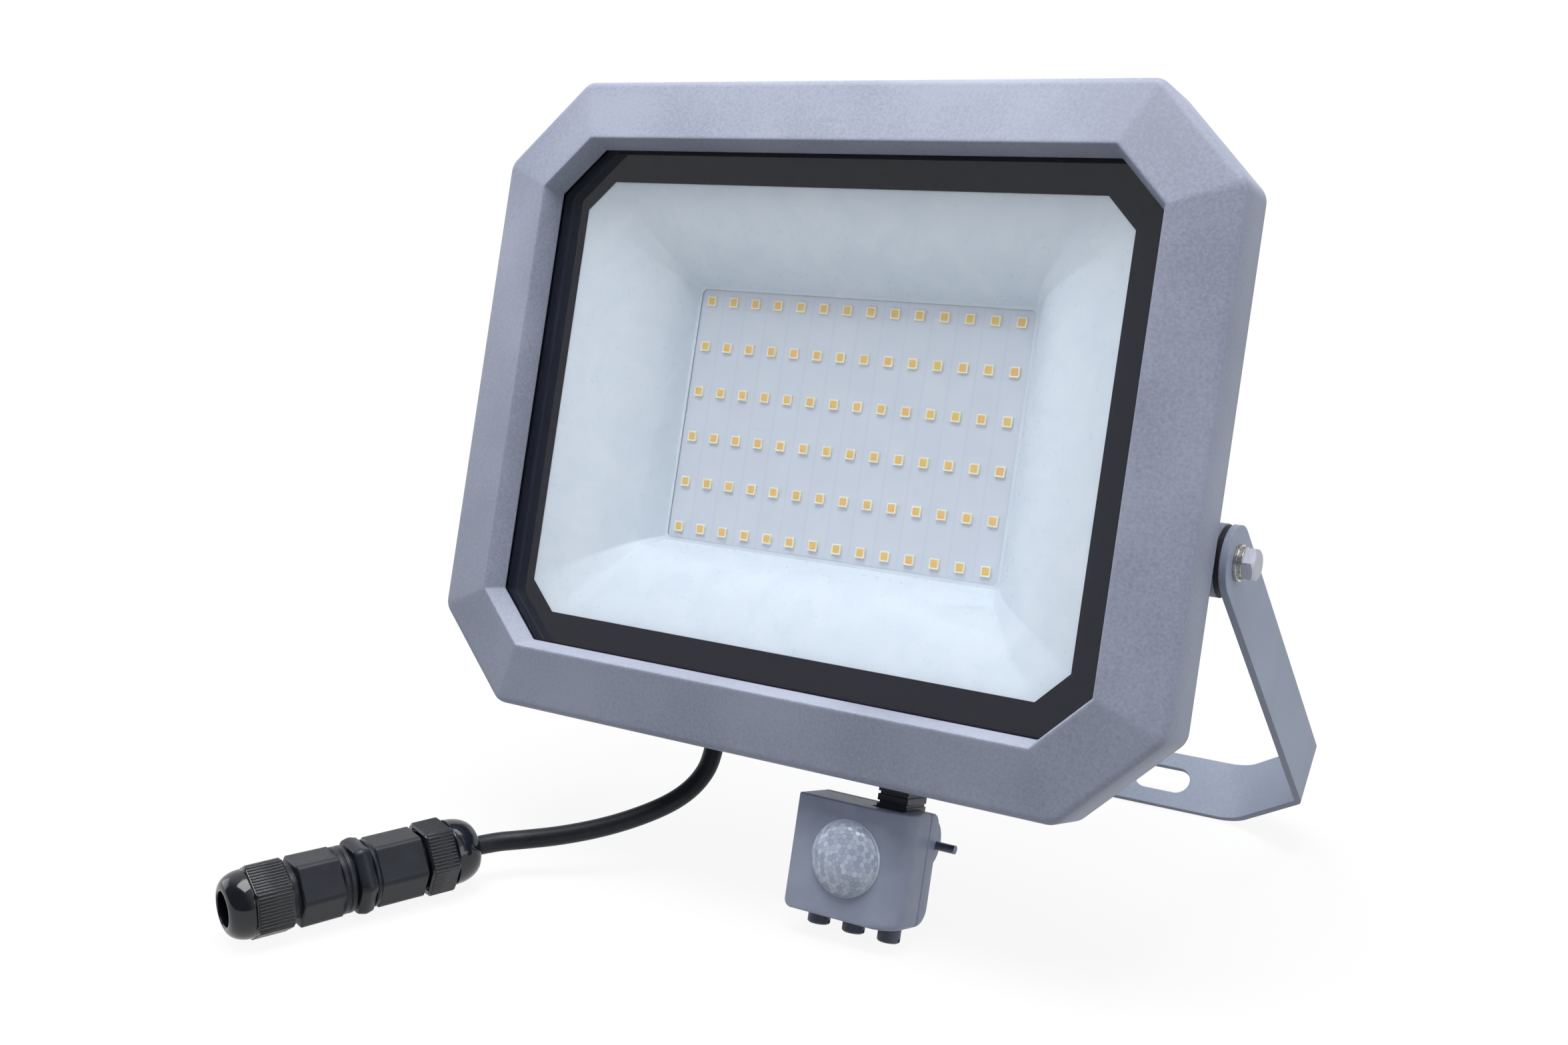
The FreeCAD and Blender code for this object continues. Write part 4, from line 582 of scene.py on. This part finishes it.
def cut_away(name, mesh, cutters):
    """The mesh with each cutter's form taken out of it, as a plain mesh."""
    holder = bpy.data.objects.new(name + "_blank", mesh)
    gather.link(holder)
    tools = []
    for k, cutter in enumerate(cutters):
        tool = bpy.data.objects.new(f"{name}_cutter_{k}", cutter)
        gather.link(tool)
        cut = holder.modifiers.new(f"cut_{k}", "BOOLEAN")
        cut.operation = "DIFFERENCE"
        cut.solver = "EXACT"
        cut.object = tool
        tools.append(tool)
    done = settled(holder, name)
    for tool in tools:
        bpy.data.objects.remove(tool)
    done.set_sharp_from_angle(angle=radians(30.0))
    return done


def prism(name, outline, start, end, axis):
    """A cutter: an outline in the plane across an axis (0, 1 or 2), from start to end along it."""
    return lofted(name, [[Vector((*point[:axis], height, *point[axis:])) for point in outline]
                         for height in (start, end)])


def rounded_slot(middle, half_length, radius, steps=10):
    """Points round a slot that runs along the first axis; with no length it is a circle."""
    reach = half_length - radius
    turns = [2 * pi * (k + 0.5) / (4 * steps) for k in range(4 * steps)]
    return [(middle + copysign(reach, cos(turn)) + radius * cos(turn),
             radius * sin(turn)) for turn in turns]


right_half = strap_line()
strap_rings = []
for place, heading in right_half:
    rise = max(0.0, place.y)
    half_width = sqrt(max(strap_half_width ** 2 - rise ** 2, 1e-8))
    strap_rings.append(strap_ring(place, heading, half_width))
for ring in reversed(strap_rings[:]):
    strap_rings.append([Vector((-point.x, point.y, point.z)) for point in ring])
base_level = right_half[-1][0].y
holes = [prism("bolt_hole", rounded_slot(0.0, bolt_hole, bolt_hole), -beyond_arms, beyond_arms, 0)]
for middle, half_length, radius in ((-slot_centre, slot_half_length, slot_radius),
                                    (slot_centre, slot_half_length, slot_radius),
                                    (0.0, centre_hole, centre_hole)):
    holes.append(prism("hole", rounded_slot(middle, half_length, radius),
                       base_level - beyond_strap, base_level + beyond_strap, 2))
strap = cut_away("folded_bracket", lofted("folded_bracket", strap_rings, sharp=30.0), holes)
bracket_coat = powder_coat("satin_powder_coat_on_steel_strap", "#9BA5B8", "#ABB4C7", 0.0006)
bracket = piece("folded_bracket", strap, bracket_place, "bracket", bracket_coat)
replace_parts(bracket, "mounting_bracket")


# Cable gland: moulded black nylon, screwed through the housing's floor from below, with a rubber
# cone that its ribbed nut squeezes round the lead.

black_nylon = moulded("black_glass_filled_nylon", "#181B23", "#22252F", 0.36,
                      0.0006, 0.00005, 0.0005, 0.3)
dress(black_nylon, "gland_body", "gland_nut", "gland_locknut")
black_rubber = moulded("black_neoprene", "#17191F", "#20232A", 0.55, 0.0005, 0.00004)
dress(black_rubber, "gland_seal", "connector_cord_seal", "connector_free_seal")


# In-line connector: two hexagonal nylon bodies screwed together by a ring, each with a domed
# gland nut whose grip is finely ribbed. It lies on the floor; the far end is open for a cable.

connector_start = Vector((-0.1036, -0.1216, 0.013723))
connector_turn = radians(22.9)
connector_length = 0.0923
connector_axis = Vector((-sin(connector_turn), -cos(connector_turn), 0.0))
level = Matrix.Rotation(-connector_turn, 4, "Z")
connector_place = (Matrix.Translation(connector_start)
                   @ Vector((0, 0, 1)).rotation_difference(connector_axis).to_matrix().to_4x4() @ level)
far_place = (connector_place @ Matrix.Translation((0, 0, connector_length))
             @ Matrix.Rotation(pi, 4, "X"))
nut_across = 0.0244
nut_round = 0.003
dome_radius = 0.0120
dome_share = 0.93
dome_mouth = 0.56
nut_bore = 0.01065
body_flat = 0.0113
rib_radius = 0.00038
rib_count = 66
ring_points = 96


def hexagon_reach(angle, across, rounding):
    """Distance from the axis to a hexagon with rounded corners, whose corners lie at 0, 60, 120..."""
    phi = radians(abs((degrees(angle) % 60) - 30))
    straight = across / 2 - rounding
    if tan(phi) <= straight * tan(radians(30)) / (across / 2):
        return across / 2 / cos(phi)
    centre = straight / cos(radians(30))
    psi = radians(30) - phi
    return centre * cos(psi) + sqrt(rounding ** 2 - (centre * sin(psi)) ** 2)


def turned_ring(height, radius=None, across=None, rounding=0.002):
    """A circle of points round the axis, or a hexagon with rounded corners where across is given."""
    points = []
    for k in range(ring_points):
        angle = 2 * pi * k / ring_points
        reach = hexagon_reach(angle, across, rounding) if across else radius
        points.append(Vector((reach * cos(angle), reach * sin(angle), height)))
    return points


def nut_shell(name, entry, grip_start, nut_length):
    """The nut without its ribs: a round dome, a hexagonal grip and the bore."""
    rings = [turned_ring(grip_start * dome_share * (1 - cos(radians(a))),
                         dome_radius * (dome_mouth + (1 - dome_mouth) * sin(radians(a))))
             for a in (0, 12, 25, 38, 51, 64, 77, 90)]
    rings.append(turned_ring(grip_start - 0.0003, dome_radius))
    for inset, height in ((0.0014, grip_start), (0.0007, grip_start + 0.0003),
                          (0.0005, grip_start + 0.0009), (0.0005, nut_length - 0.0008),
                          (0.0009, nut_length)):
        rings.append(turned_ring(height, across=nut_across - 2 * inset, rounding=nut_round - inset))
    rings += [turned_ring(height, reach) for height, reach in (
        (nut_length, nut_bore), (0.0075, nut_bore), (0.005, entry), (0.0003, entry),
        (0.0, entry + 0.0004))]
    return lofted(name, rings, closed=True)


def stepped(name, stations):
    """A moulding through stations of height and reach in mm, and 1 for a hexagon or 0 for a circle."""
    return lofted(name, [turned_ring(height / 1000, reach / 1000, six * reach / 500)
                         for height, reach, six in stations])


flat = body_flat * 1000
for node, stations in (
        ("connector_cord_body", [
            (16, 8, 0), (21.2, 8, 0), (21.2, 9.6, 0), (22.3, 9.6, 0), (22.3, flat - 0.6, 1),
            (22.8, flat, 1), (39.6, flat, 1), (40.1, flat - 0.5, 1), (40.1, 11.9, 0), (40.4, 12.1, 0),
            (41.2, 12.1, 0), (41.5, 11.8, 0)]),
        ("connector_coupling_ring", [
            (41.6, 10, 0), (41.6, 11.3, 1), (42, 11.7, 1), (44.1, 12.2, 1), (45, 12.2, 1),
            (47.1, 11.7, 1), (47.6, 11.3, 1), (47.6, 10, 0)]),
        ("connector_free_body", [
            (47.6, 9.8, 0), (49, 9.8, 0), (49, 11.7, 0), (49.3, 12, 0), (50.6, 12, 0), (50.8, 11.6, 0),
            (51.2, 11.6, 0), (51.4, 12, 0), (52.7, 12, 0), (53, 11.7, 0), (53, flat - 0.2, 1),
            (67.7, flat, 1), (68.2, flat - 0.6, 1), (68.2, 9.4, 0), (70.9, 9.4, 0), (70.9, 8, 0),
            (76, 8, 0)])):
    made = piece(node + "_moulded", stepped(node, stations), connector_place, "head",
                 black_nylon)
    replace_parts(made, node)


rib_tree, sizes = new_tree("ribs round a nut's grip", {
    "Across Flats": "NodeSocketFloat", "Corner Radius": "NodeSocketFloat", "Rib Count": "NodeSocketInt",
    "Rib Radius": "NodeSocketFloat", "Rib Length": "NodeSocketFloat", "Start": "NodeSocketFloat",
    "Finish": "NodeSocketMaterial"})
corner = add(rib_tree, "ShaderNodeMath", {
    0: sizes["Across Flats"], 1: 1 / sqrt(3)}, operation="MULTIPLY")
hexagon = add(rib_tree, "GeometryNodeMeshCircle", {"Vertices": 6, "Radius": corner})
outline = add(rib_tree, "GeometryNodeMeshToCurve", {"Mesh": hexagon})
softened = add(rib_tree, "GeometryNodeFilletCurve", {
    "Curve": outline, "Radius": sizes["Corner Radius"], "Count": 6}, mode="POLY")
stations = add(rib_tree, "GeometryNodeResampleCurve", {
    "Curve": softened, "Count": sizes["Rib Count"]})
half_rib = add(rib_tree, "ShaderNodeMath", {0: sizes["Rib Length"], 1: 0.5}, operation="MULTIPLY")
middle = add(rib_tree, "ShaderNodeMath", {0: sizes["Start"], 1: half_rib}, operation="ADD")
lift = add(rib_tree, "ShaderNodeCombineXYZ", {"Z": middle})
rod = add(rib_tree, "GeometryNodeMeshCylinder", {
    "Vertices": 8, "Radius": sizes["Rib Radius"], "Depth": sizes["Rib Length"]})
raised_rod = add(rib_tree, "GeometryNodeTransform", {
    "Geometry": rod.outputs["Mesh"], "Translation": lift})
ribs = add(rib_tree, "GeometryNodeInstanceOnPoints", {
    "Points": stations, "Instance": raised_rod})
joined = add(rib_tree, "GeometryNodeJoinGeometry")
rib_tree.links.new(ribs.outputs[0], joined.inputs[0])
rib_tree.links.new(sizes["Geometry"], joined.inputs[0])
solid_ribs = add(rib_tree, "GeometryNodeRealizeInstances", {"Geometry": joined})
finished = add(rib_tree, "GeometryNodeSetMaterial", {
    "Geometry": solid_ribs, "Material": sizes["Finish"]})
add(rib_tree, "NodeGroupOutput", {0: finished})

gloss_nylon = moulded("polished_black_nylon", "#14161E", "#1B1E27", 0.08, 0.0030, 0.00003, 0.0004, 0.5)
for node, entry, place, turn, grip_start, nut_length in (
        ("connector_cord_nut", 0.0038, connector_place, 0.0, 0.0104, 0.0213),
        ("connector_free_nut", 0.0062, far_place, 30.0, 0.0080, 0.0214)):
    mesh = grown(node, rib_tree, {
        "Across Flats": nut_across - 2 * rib_radius - 0.0001, "Corner Radius": nut_round - rib_radius,
        "Rib Count": rib_count, "Rib Radius": rib_radius,
        "Rib Length": nut_length - grip_start - 0.0016, "Start": grip_start + 0.0008,
        "Finish": gloss_nylon}, nut_shell(node, entry, grip_start, nut_length))
    made = piece(node + "_ribbed", mesh, place @ Matrix.Rotation(radians(turn), 4, "Z"), "head")
    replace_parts(made, node)


# Lead: 7.1 mm round cable in black neoprene. It comes straight out of the gland, sags forward
# under its own weight and runs level into the connector on the floor.

lead_radius = 0.00355
lead_route = [
    (-0.0360, -0.06126, 0.05264), (-0.0360, -0.06401, 0.04303), (-0.0392, -0.06880, 0.03460),
    (-0.0446, -0.07570, 0.02860), (-0.0540, -0.08310, 0.02340), (-0.0660, -0.09130, 0.01880),
    (-0.0795, -0.09970, 0.01550), (-0.0915, -0.10690, 0.01380), (-0.10127, -0.11607, 0.01372),
    (-0.10827, -0.13265, 0.01372)]
lead_curve = bpy.data.curves.new("lead", "CURVE")
lead_curve.dimensions = "3D"
lead_curve.bevel_depth = lead_radius
lead_curve.bevel_resolution = 8
lead_curve.resolution_u = 16
lead_curve.use_fill_caps = True
spline = lead_curve.splines.new("NURBS")
spline.points.add(len(lead_route) - 1)
for point, place in zip(spline.points, lead_route):
    point.co = (*place, 1.0)
spline.order_u = 3
spline.use_endpoint_u = True
sheath = moulded("black_neoprene_sheath", "#181A20", "#22252C", 0.42, 0.0007, 0.00005, 0.0004, 0.25)
lead_curve.materials.append(sheath)
lead = bpy.data.objects.new("lead", lead_curve)
gather.link(lead)
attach(lead, "head")
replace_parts(lead, "power_cord")


# Sensor neck: a nylon bush in the housing's floor, and a ribbed dark grey block whose stem
# turns in it and is held by a nut inside. The sensor tilts on the knuckle at its foot.

neck_nylon = moulded("dark_grey_nylon", "#2B2E37", "#363A44", 0.4, 0.0006, 0.00005, 0.0005, 0.4)
dress(neck_nylon, "neck_bush", "neck_stem_nut", "sensor_neck")


# Sensor case: front shell and rear cover in grey ABS with a satin grain, snapped together. A
# notch at the back lets the neck pass, and two ears on the cover carry the hinge screw.

case_left = 0.0150
case_right = 0.0580
case_top = -0.1272
case_bottom = -0.1668
case_front = 0.0126
case_seam = 0.0300
case_back = 0.0361
side_round = 0.009
low_round = 0.0027
back_round = 0.004
edge_round = 0.0007
notch_left = 0.0401
notch_right = 0.0523
notch_front = 0.0184
notch_bottom = -0.1485
hinge_depth = 0.0370
hinge_height = -0.1385
ear_radius = 0.0085
ear_chamfer = 0.0004
# Each ear's left side, right side and bore; the screw's head sits in the wider bore.
hinge_ears = ((0.0371, notch_left, 0.0034), (notch_right, 0.0553, 0.0016))
behind_case = 0.045
above_case = -0.12


def case_ring(depth, inset):
    """The case's outline across its depth: square above, rounded below and to the right in front."""
    dip = max(0.0, case_front + side_round - depth)
    right = case_right - side_round + sqrt(max(side_round ** 2 - dip ** 2, 0.0))
    fall = max(0.0, depth - (case_back - back_round))
    drawn = back_round - sqrt(max(back_round ** 2 - fall ** 2, 0.0))
    low = case_bottom + inset + drawn
    high = case_top - inset - drawn
    left = case_left + inset
    right = right - (inset if dip < side_round / 2 else 0.0)
    points = []
    for x, z, radius, start in ((right, low, low_round, 270), (right, high, edge_round, 0),
                                (left, high, edge_round, 90), (left, low, low_round, 180)):
        middle = Vector((x - copysign(radius, x - (left + right) / 2), depth,
                         z - copysign(radius, z - (low + high) / 2)))
        turns = [radians(start + 15 * k) for k in range(7)]
        points += [middle + radius * Vector((cos(turn), 0.0, sin(turn))) for turn in turns]
    return points


def ear(left, right, bore):
    """One round ear of the hinge with its bore."""
    rings = []
    turns = [radians(10 * k) for k in range(36)]
    for x, radius in ((left, ear_radius - ear_chamfer), (left + ear_chamfer, ear_radius),
                      (right, ear_radius), (right, bore), (left, bore)):
        rings.append([Vector((x, hinge_depth + radius * cos(turn),
                              hinge_height + radius * sin(turn))) for turn in turns])
    return lofted("ear", rings, closed=True)


def notch():
    """The way for the neck, cut into the back of the case."""
    return prism("notch", [(notch_left, notch_bottom), (notch_right, notch_bottom),
                           (notch_right, above_case), (notch_left, above_case)],
                 notch_front, behind_case, 1)


front_depths = [case_front + side_round * (1 - cos(radians(a)))
                for a in (24, 36, 48, 60, 70, 80, 90)]
shell_rings = [case_ring(case_front, edge_round), case_ring(case_front + 0.0001, 0.0004)]
shell_rings += [case_ring(depth, 0.0) for depth in front_depths]
shell_rings += [case_ring(case_seam - 0.0005, 0.0), case_ring(case_seam - 0.0001, 0.0003)]
cover_rings = [case_ring(case_seam + 0.0001, 0.0003), case_ring(case_seam + 0.0005, 0.0)]
cover_rings += [case_ring(case_back - back_round * (1 - sin(radians(a))), 0.0)
                for a in (0, 15, 30, 45, 60, 75, 86)]
sensor_abs = moulded("satin_grey_abs", "#959DB0", "#A2A9BC", 0.42, 0.0005, 0.00004, 0.0005)
shell = cut_away("sensor_case_front", lofted("sensor_case_front", shell_rings, sharp=30.0), [notch()])
cover = cut_away("sensor_case_cover", lofted("sensor_case_cover", cover_rings, sharp=30.0), [notch()])
form = bmesh.new()
form.from_mesh(cover)
for left, right, bore in hinge_ears:
    form.from_mesh(ear(left, right, bore))
form.to_mesh(cover)
form.free()
for name, mesh, node in (("sensor_case_front", shell, "sensor_front_shell"),
                         ("sensor_case_cover", cover, "sensor_rear_cover")):
    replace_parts(piece(name, mesh, head_place, "sensor", sensor_abs), node)
dress(plated("dark_zinc_hinge_screw", "#5A5D68", "#7C808C", 0.38, 0.0006, 0.00004), "hinge_screw")


# Sensor board and detector: a green glass-fibre board behind the lens, with a nickel plated can
# that watches the heat through the lens.

dress(moulded("green_glass_fibre_board", "#1F5B37", "#2C7549", 0.35, 0.0009, 0.00003), "sensor_board")
dress(plated("nickel_plated_can", "#A7A9A6", "#C6C7C2", 0.25, 0.0007, 0.00002), "pir_detector")


# Lens: a thin milky polyethylene dome, pressed with a honeycomb of small lenses and clipped into
# the front of the sensor. Each facet is given a painted lightness, in place of the light it catches.

lens_ball = 0.0134
lens_flatten = 0.54
lens_rim = 0.0132
lens_thickness = 0.0008
facet_groove = 0.00009
facet_lift = 0.00012
facet_foot = 0.0007
rim_height = 0.0001
sensor_front = 0.0126
sensor_middle = 0.0365
lens_height = -0.14575
cap_angle = radians(80.0)

lens_tree, sizes = new_tree("honeycomb ball", {
    "Radius": "NodeSocketFloat", "Fineness": "NodeSocketInt", "Flatten": "NodeSocketFloat",
    "Finish": "NodeSocketMaterial"})
ball = add(lens_tree, "GeometryNodeMeshIcoSphere", {
    "Radius": sizes["Radius"], "Subdivisions": sizes["Fineness"]})
honeycomb = add(lens_tree, "GeometryNodeDualMesh", {0: ball})
squash = add(lens_tree, "ShaderNodeCombineXYZ", {"X": 1.0, "Y": 1.0, "Z": sizes["Flatten"]})
pressed = add(lens_tree, "GeometryNodeTransform", {
    "Geometry": honeycomb, "Scale": squash})
lens_real = add(lens_tree, "GeometryNodeRealizeInstances", {"Geometry": pressed})
# Each facet gets a random painted lightness, in place of the light its small lens refracts.
painted_lightness_chance = add(lens_tree, "FunctionNodeRandomValue", {"Seed": 7}, data_type="FLOAT")
with_painted_lightness = add(lens_tree, "GeometryNodeStoreNamedAttribute", {
    "Geometry": lens_real, "Name": "facet tint"}, data_type="FLOAT", domain="FACE")
lens_tree.links.new(painted_lightness_chance.outputs[1], with_painted_lightness.inputs["Value"])
lens_done = add(lens_tree, "GeometryNodeSetMaterial", {
    "Geometry": with_painted_lightness, "Material": sizes["Finish"]})
add(lens_tree, "NodeGroupOutput", {0: lens_done})

# Polyethylene: every small lens of the honeycomb refracts another part of the case, so each is
# given its own painted lightness, a painted reflection between the dark of the case and the
# bright of the room.
milky, tree, skin, where = new_finish("milky_polyethylene")
# The milky colour runs from darker to lighter with each facet's painted lightness.
own = add(tree, "ShaderNodeAttribute", attribute_name="facet tint")
milk_and_painted_lightness = add(tree, "ShaderNodeMix", {
    0: own.outputs["Fac"], 6: linear("#A6B1C5"), 7: linear("#D2DAE7")}, data_type="RGBA")
fine_grooves = add(tree, "ShaderNodeTexNoise", {"Vector": where, "Scale": 2500.0, "Detail": 1.0})
grooves = add(tree, "ShaderNodeBump", {
    "Strength": 0.3, "Distance": 0.00003, "Height": fine_grooves.outputs["Fac"]})
tree.links.new(milk_and_painted_lightness.outputs[2], skin.inputs["Base Color"])
tree.links.new(grooves.outputs[0], skin.inputs["Normal"])
skin.inputs["Roughness"].default_value = 0.18
skin.inputs["Subsurface Weight"].default_value = 0.15
skin.inputs["Subsurface Radius"].default_value = (0.001, 0.001, 0.001)
skin.inputs["Subsurface Scale"].default_value = 1.0
skin.inputs["IOR"].default_value = 1.51

facets = grown("lens_facets", lens_tree, {
    "Radius": lens_ball, "Fineness": 4, "Flatten": lens_flatten, "Finish": milky})
form = bmesh.new()
form.from_mesh(facets)
drop = lens_ball * cos(cap_angle) * lens_flatten
bmesh.ops.translate(form, verts=form.verts, vec=(0.0, 0.0, -drop))
bmesh.ops.bisect_plane(form, geom=form.verts[:] + form.edges[:] + form.faces[:], dist=1e-6,
                       plane_co=(0, 0, facet_foot), plane_no=(0, 0, 1), clear_inner=True)
bmesh.ops.inset_individual(form, faces=form.faces[:], thickness=facet_groove, depth=facet_lift,
                           use_even_offset=True)
rim_edges = [edge for edge in form.edges if edge.is_boundary]
pulled = bmesh.ops.extrude_edge_only(form, edges=rim_edges)
# The rim gets the lightest of the painted lightness.
for face in (f for f in pulled["geom"] if isinstance(f, bmesh.types.BMFace)):
    face[form.faces.layers.float["facet tint"]] = 1.0
for vertex in (v for v in pulled["geom"] if isinstance(v, bmesh.types.BMVert)):
    flat = Vector((vertex.co.x, vertex.co.y)).normalized() * lens_rim
    vertex.co = (flat.x, flat.y, rim_height)
bmesh.ops.recalc_face_normals(form, faces=form.faces)
if sum(face.normal.z * face.calc_area() for face in form.faces) < 0:
    bmesh.ops.reverse_faces(form, faces=form.faces)
form.to_mesh(facets)
form.free()
lens_place = head_place @ Matrix.Translation((sensor_middle, sensor_front, lens_height)) @ facing_front
lens = piece("faceted_lens", facets, lens_place, "sensor", milky)
wall = lens.modifiers.new("wall", "SOLIDIFY")
wall.thickness = lens_thickness
wall.offset = -1.0
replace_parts(lens, "sensor_lens")


# Setting knobs: three small grey ABS knobs with a screwdriver slot, for light level, time and
# range, pressed on the shafts of the board's controls.

dress(moulded("grey_abs_knob", "#4A4F5E", "#575C6C", 0.45, 0.0005, 0.00004, 0.0003),
      "lux_knob", "time_knob", "range_knob")


# Studio: a pale floor that runs into a white surround, a broad soft light from above and a weak
# one from each side. Reflections see a darker room in front, so the glass doesn't turn white.

floor_form = bmesh.new()
bmesh.ops.create_grid(floor_form, x_segments=1, y_segments=1, size=4.0)
floor_mesh = bpy.data.meshes.new("floor")
floor_form.to_mesh(floor_mesh)
floor_form.free()
floor_finish, tree, skin, where = new_finish("white_paper_sweep")
fibre = add(tree, "ShaderNodeTexNoise", {"Vector": where, "Scale": 300.0, "Detail": 2.0})
paper = add(tree, "ShaderNodeMix", {
    0: fibre.outputs["Fac"], 6: linear("#FAFAFA"), 7: linear("#FFFFFF")}, data_type="RGBA")
ray = add(tree, "ShaderNodeLightPath")
bounced = add(tree, "ShaderNodeMix", {
    0: ray.outputs["Is Diffuse Ray"], 6: paper.outputs[2], 7: linear("#8E8E8E")}, data_type="RGBA")
tree.links.new(bounced.outputs[2], skin.inputs["Base Color"])
skin.inputs["Roughness"].default_value = 0.9
skin.inputs["Specular IOR Level"].default_value = 0.0
glow = add(tree, "ShaderNodeEmission", {"Color": linear("#FFFFFF"), "Strength": 1.0})
seen = add(tree, "ShaderNodeMath", {
    0: ray.outputs["Is Camera Ray"], 1: ray.outputs["Is Transmission Ray"]}, operation="MAXIMUM")
any_seen = add(tree, "ShaderNodeMath", {
    0: seen, 1: ray.outputs["Is Glossy Ray"]}, operation="MAXIMUM")
reach = add(tree, "ShaderNodeVectorMath", {0: where}, operation="LENGTH")
fade = add(tree, "ShaderNodeMapRange", {
    "Value": reach.outputs["Value"], "From Min": 0.2, "From Max": 0.45, "To Min": 0.9, "To Max": 1.0})
share = add(tree, "ShaderNodeMath", {0: any_seen, 1: fade}, operation="MULTIPLY")
paper_look = add(tree, "ShaderNodeMixShader", {0: share, 1: skin, 2: glow})
tree.links.new(paper_look.outputs[0], tree.nodes["Material Output"].inputs["Surface"])
floor_mesh.materials.append(floor_finish)
floor = bpy.data.objects.new("floor", floor_mesh)
gather.link(floor)

surround = bpy.data.worlds.new("white_surround")
surround.use_nodes = True
tree = surround.node_tree
tree.nodes.clear()
ray = add(tree, "ShaderNodeLightPath")
heading = add(tree, "ShaderNodeSeparateXYZ", {0: add(tree, "ShaderNodeTexCoord").outputs["Generated"]})
behind = add(tree, "ShaderNodeMapRange", {
    "Value": heading.outputs["Y"], "From Min": 0.0, "From Max": 0.15, "To Min": 0.65})
through = add(tree, "ShaderNodeMath", {
    0: ray.outputs["Is Transmission Ray"], 1: behind}, operation="MULTIPLY")
direct = add(tree, "ShaderNodeMath", {
    0: ray.outputs["Is Camera Ray"], 1: through}, operation="MAXIMUM")
shown = add(tree, "ShaderNodeMath", {
    0: direct, 1: ray.outputs["Is Glossy Ray"]}, operation="MAXIMUM")
room = add(tree, "ShaderNodeMapRange", {
    "Value": heading.outputs["Y"], "From Min": -0.55, "From Max": 0.1, "To Min": 0.12, "To Max": 1.0},
    interpolation_type="SMOOTHSTEP")
plain = add(tree, "ShaderNodeMath", {0: direct, 1: room}, operation="MAXIMUM")
fill = add(tree, "ShaderNodeBackground", {"Color": linear("#E9EEF8"), "Strength": 0.40})
white = add(tree, "ShaderNodeBackground", {"Color": linear("#FFFFFF"), "Strength": plain})
sky = add(tree, "ShaderNodeMixShader", {0: shown, 1: fill, 2: white})
add(tree, "ShaderNodeOutputWorld", {"Surface": sky})
bpy.context.scene.world = surround

for name, place, aim, size, power, tint in (
        ("soft_box_above", (0.0, -0.2, 1.35), (0.0, -0.03, 0.15), 0.9, 18.0, "#FFFFFF"),
        ("soft_box_left", (-1.5, -0.4, 0.5), (0.0, -0.05, 0.15), 0.8, 3.5, "#F4F7FF"),
        ("soft_box_right", (1.5, 0.15, 0.5), (0.1, -0.05, 0.12), 0.8, 4.0, "#F4F7FF")):
    lamp = bpy.data.lights.new(name, "AREA")
    lamp.shape = "SQUARE"
    lamp.size = size
    lamp.energy = power
    lamp.color = linear(tint)[:3]
    light = bpy.data.objects.new(name, lamp)
    light.location = place
    light.rotation_euler = (Vector(aim) - Vector(place)).to_track_quat("-Z", "Y").to_euler()
    gather.link(light)


# Camera: where the photograph was taken from, a little above the lamp and to its right.

camera_data = bpy.data.cameras.new("camera")
camera_data.sensor_fit = "HORIZONTAL"
camera_data.sensor_width = 36.0
camera_data.lens = 40.913
camera_data.clip_start = 0.02
camera = bpy.data.objects.new("camera", camera_data)
camera.location = (0.31706, -0.5774, 0.2780)
camera.rotation_euler = Vector((-0.51744, 0.82499, -0.22726)).to_track_quat("-Z", "Y").to_euler()
gather.link(camera)
bpy.context.scene.camera = camera
bpy.context.scene.view_settings.view_transform = "Standard"
